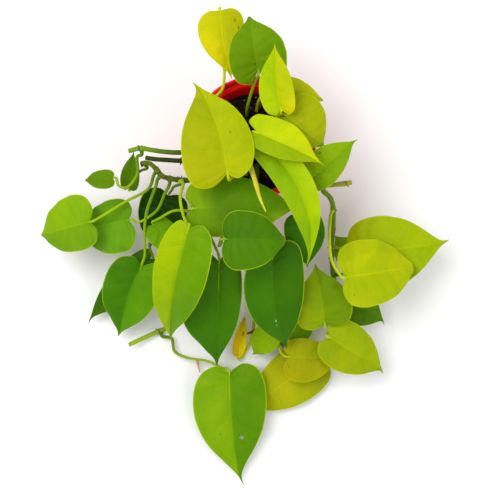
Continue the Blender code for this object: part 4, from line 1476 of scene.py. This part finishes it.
@dataclass
class Studio:
    """Pale floor, soft lights and the camera."""

    camera_at: Point = (-4.0, -247.7, 1139.3)
    looks_at: Point = (-4.0, -94.6, 50.0)
    lens: float = 87.4
    floor_size: float = 6.0
    sky: float = 0.72

    def build(self) -> None:
        """Makes the floor, world, lights and camera."""
        half = self.floor_size / 2 / MM
        surface = Surface()
        corners = [(-half, -half, 0), (half, -half, 0), (half, half, 0), (-half, half, 0)]
        blank = np.zeros((4, 2))
        surface.add(np.array(corners) - (0, 0, FLOOR_GAP), blank, blank, [(0, 1, 2, 3)])
        surface.piece("floor", [FloorFinish().build()])
        world = bpy.data.worlds.new("studio")
        bpy.context.scene.world = world
        world.use_nodes = True
        background = world.node_tree.nodes["Background"]
        background.inputs[0].default_value = (1.0, 1.0, 1.0, 1.0)
        background.inputs[1].default_value = self.sky
        self._lamp("key", (-0.50, 0.05, 1.30), 0.8, 11.0)
        self._lamp("fill", (0.70, -0.60, 1.0), 0.9, 4.0)
        scene = bpy.context.scene
        scene.view_settings.view_transform = "Standard"
        data = bpy.data.cameras.new("camera")
        data.lens, data.sensor_width = self.lens, 36.0
        camera = bpy.data.objects.new("camera", data)
        camera.location = Vector(self.camera_at) * MM
        gaze = Vector(self.looks_at) * MM - camera.location
        camera.rotation_euler = gaze.to_track_quat("-Z", "Y").to_euler()
        scene.collection.objects.link(camera)
        scene.camera = camera

    def _lamp(self, name: str, place: Point, size: float, power: float) -> None:
        """Adds a square softbox aimed at the plant.

        Args:
            name: its name.
            place: where it stands, in metres.
            size: its side in metres.
            power: watts.
        """
        data = bpy.data.lights.new(name, "AREA")
        data.energy, data.size = power, size
        lamp = bpy.data.objects.new(name, data)
        lamp.location = place
        aim = Vector((0.0, -0.09, 0.05)) - lamp.location
        lamp.rotation_euler = aim.to_track_quat("-Z", "Y").to_euler()
        bpy.context.scene.collection.objects.link(lamp)


# The whole plant

VINE_LOOKS: dict[str, tuple[Colour, Colour, float]] = {
    "vine_left": ((42, 62, 22), (116, 148, 30), 0.62),
    "vine_left_low": ((52, 72, 20), (110, 128, 30), 0.70),
    "vine_front_left": ((70, 92, 24), (158, 182, 40), 0.72),
    "vine_front": ((80, 104, 26), (130, 150, 40), 0.6),
    "vine_right": ((46, 66, 22), (160, 160, 48), 0.72),
    "vine_right_low": ((104, 130, 34), (120, 150, 40), 0.5),
    "stem_cut": ((34, 50, 18), (58, 72, 26), 0.8),
}

SLENDER: tuple[Slender, ...] = (
    Slender("shoot", ((-3, -12, 67), (-3, -14, 80), (-4, -20, 108), (-4, -32, 128), (0, -48, 140),
                      (4, -64, 147), (9, -76, 148)), 1.6, 0.45, 2.2, "new_shoot",
            StemFinish("shoot_skin", (150, 170, 40), (206, 200, 60), 0.3), 0.05),
    Slender("root_aerial", ((-53.5, -191.4, 11.4), (-52.5, -194.5, 8.9), (-52, -198, 6.6), (-51, -203, 3.4)),
            1.1, 0.4, 1.0, "dry_stem",
            StemFinish("root_skin", (206, 130, 98), (232, 170, 140), 0.5, 1.1, 0.6, 0.12), 0.08),
    Slender("stem_dry", ((7.5, -161, 4), (2, -164, 6), (-8, -168, 8)), 1.3, 0.9, 1.3, "dry_stem",
            StemFinish("dry_stem_skin", (110, 62, 30), (140, 84, 40), 0.5), 0.10),
)


def main() -> None:
    """Builds the pot, the soil, the vines and the leaves around the frame."""
    logging.basicConfig(level=logging.INFO, format="%(name)s %(message)s")
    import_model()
    Studio().build()
    pot = Pot()
    pot.build()
    Soil(pot).build()
    vines = {}
    for name, waypoints in VINES.items():
        joints = tuple(s.spot for s in LEAVES if s.host == name)
        old, young, turn = VINE_LOOKS[name]
        vines[name] = Vine(name, waypoints, joints, StemFinish(name + "_bark", old, young, turn))
        vines[name].build()
    for shape in LEAVES:
        Leaf(shape, vines).build()
    for piece in SLENDER:
        piece.build()


if __name__ == "__main__":
    main()
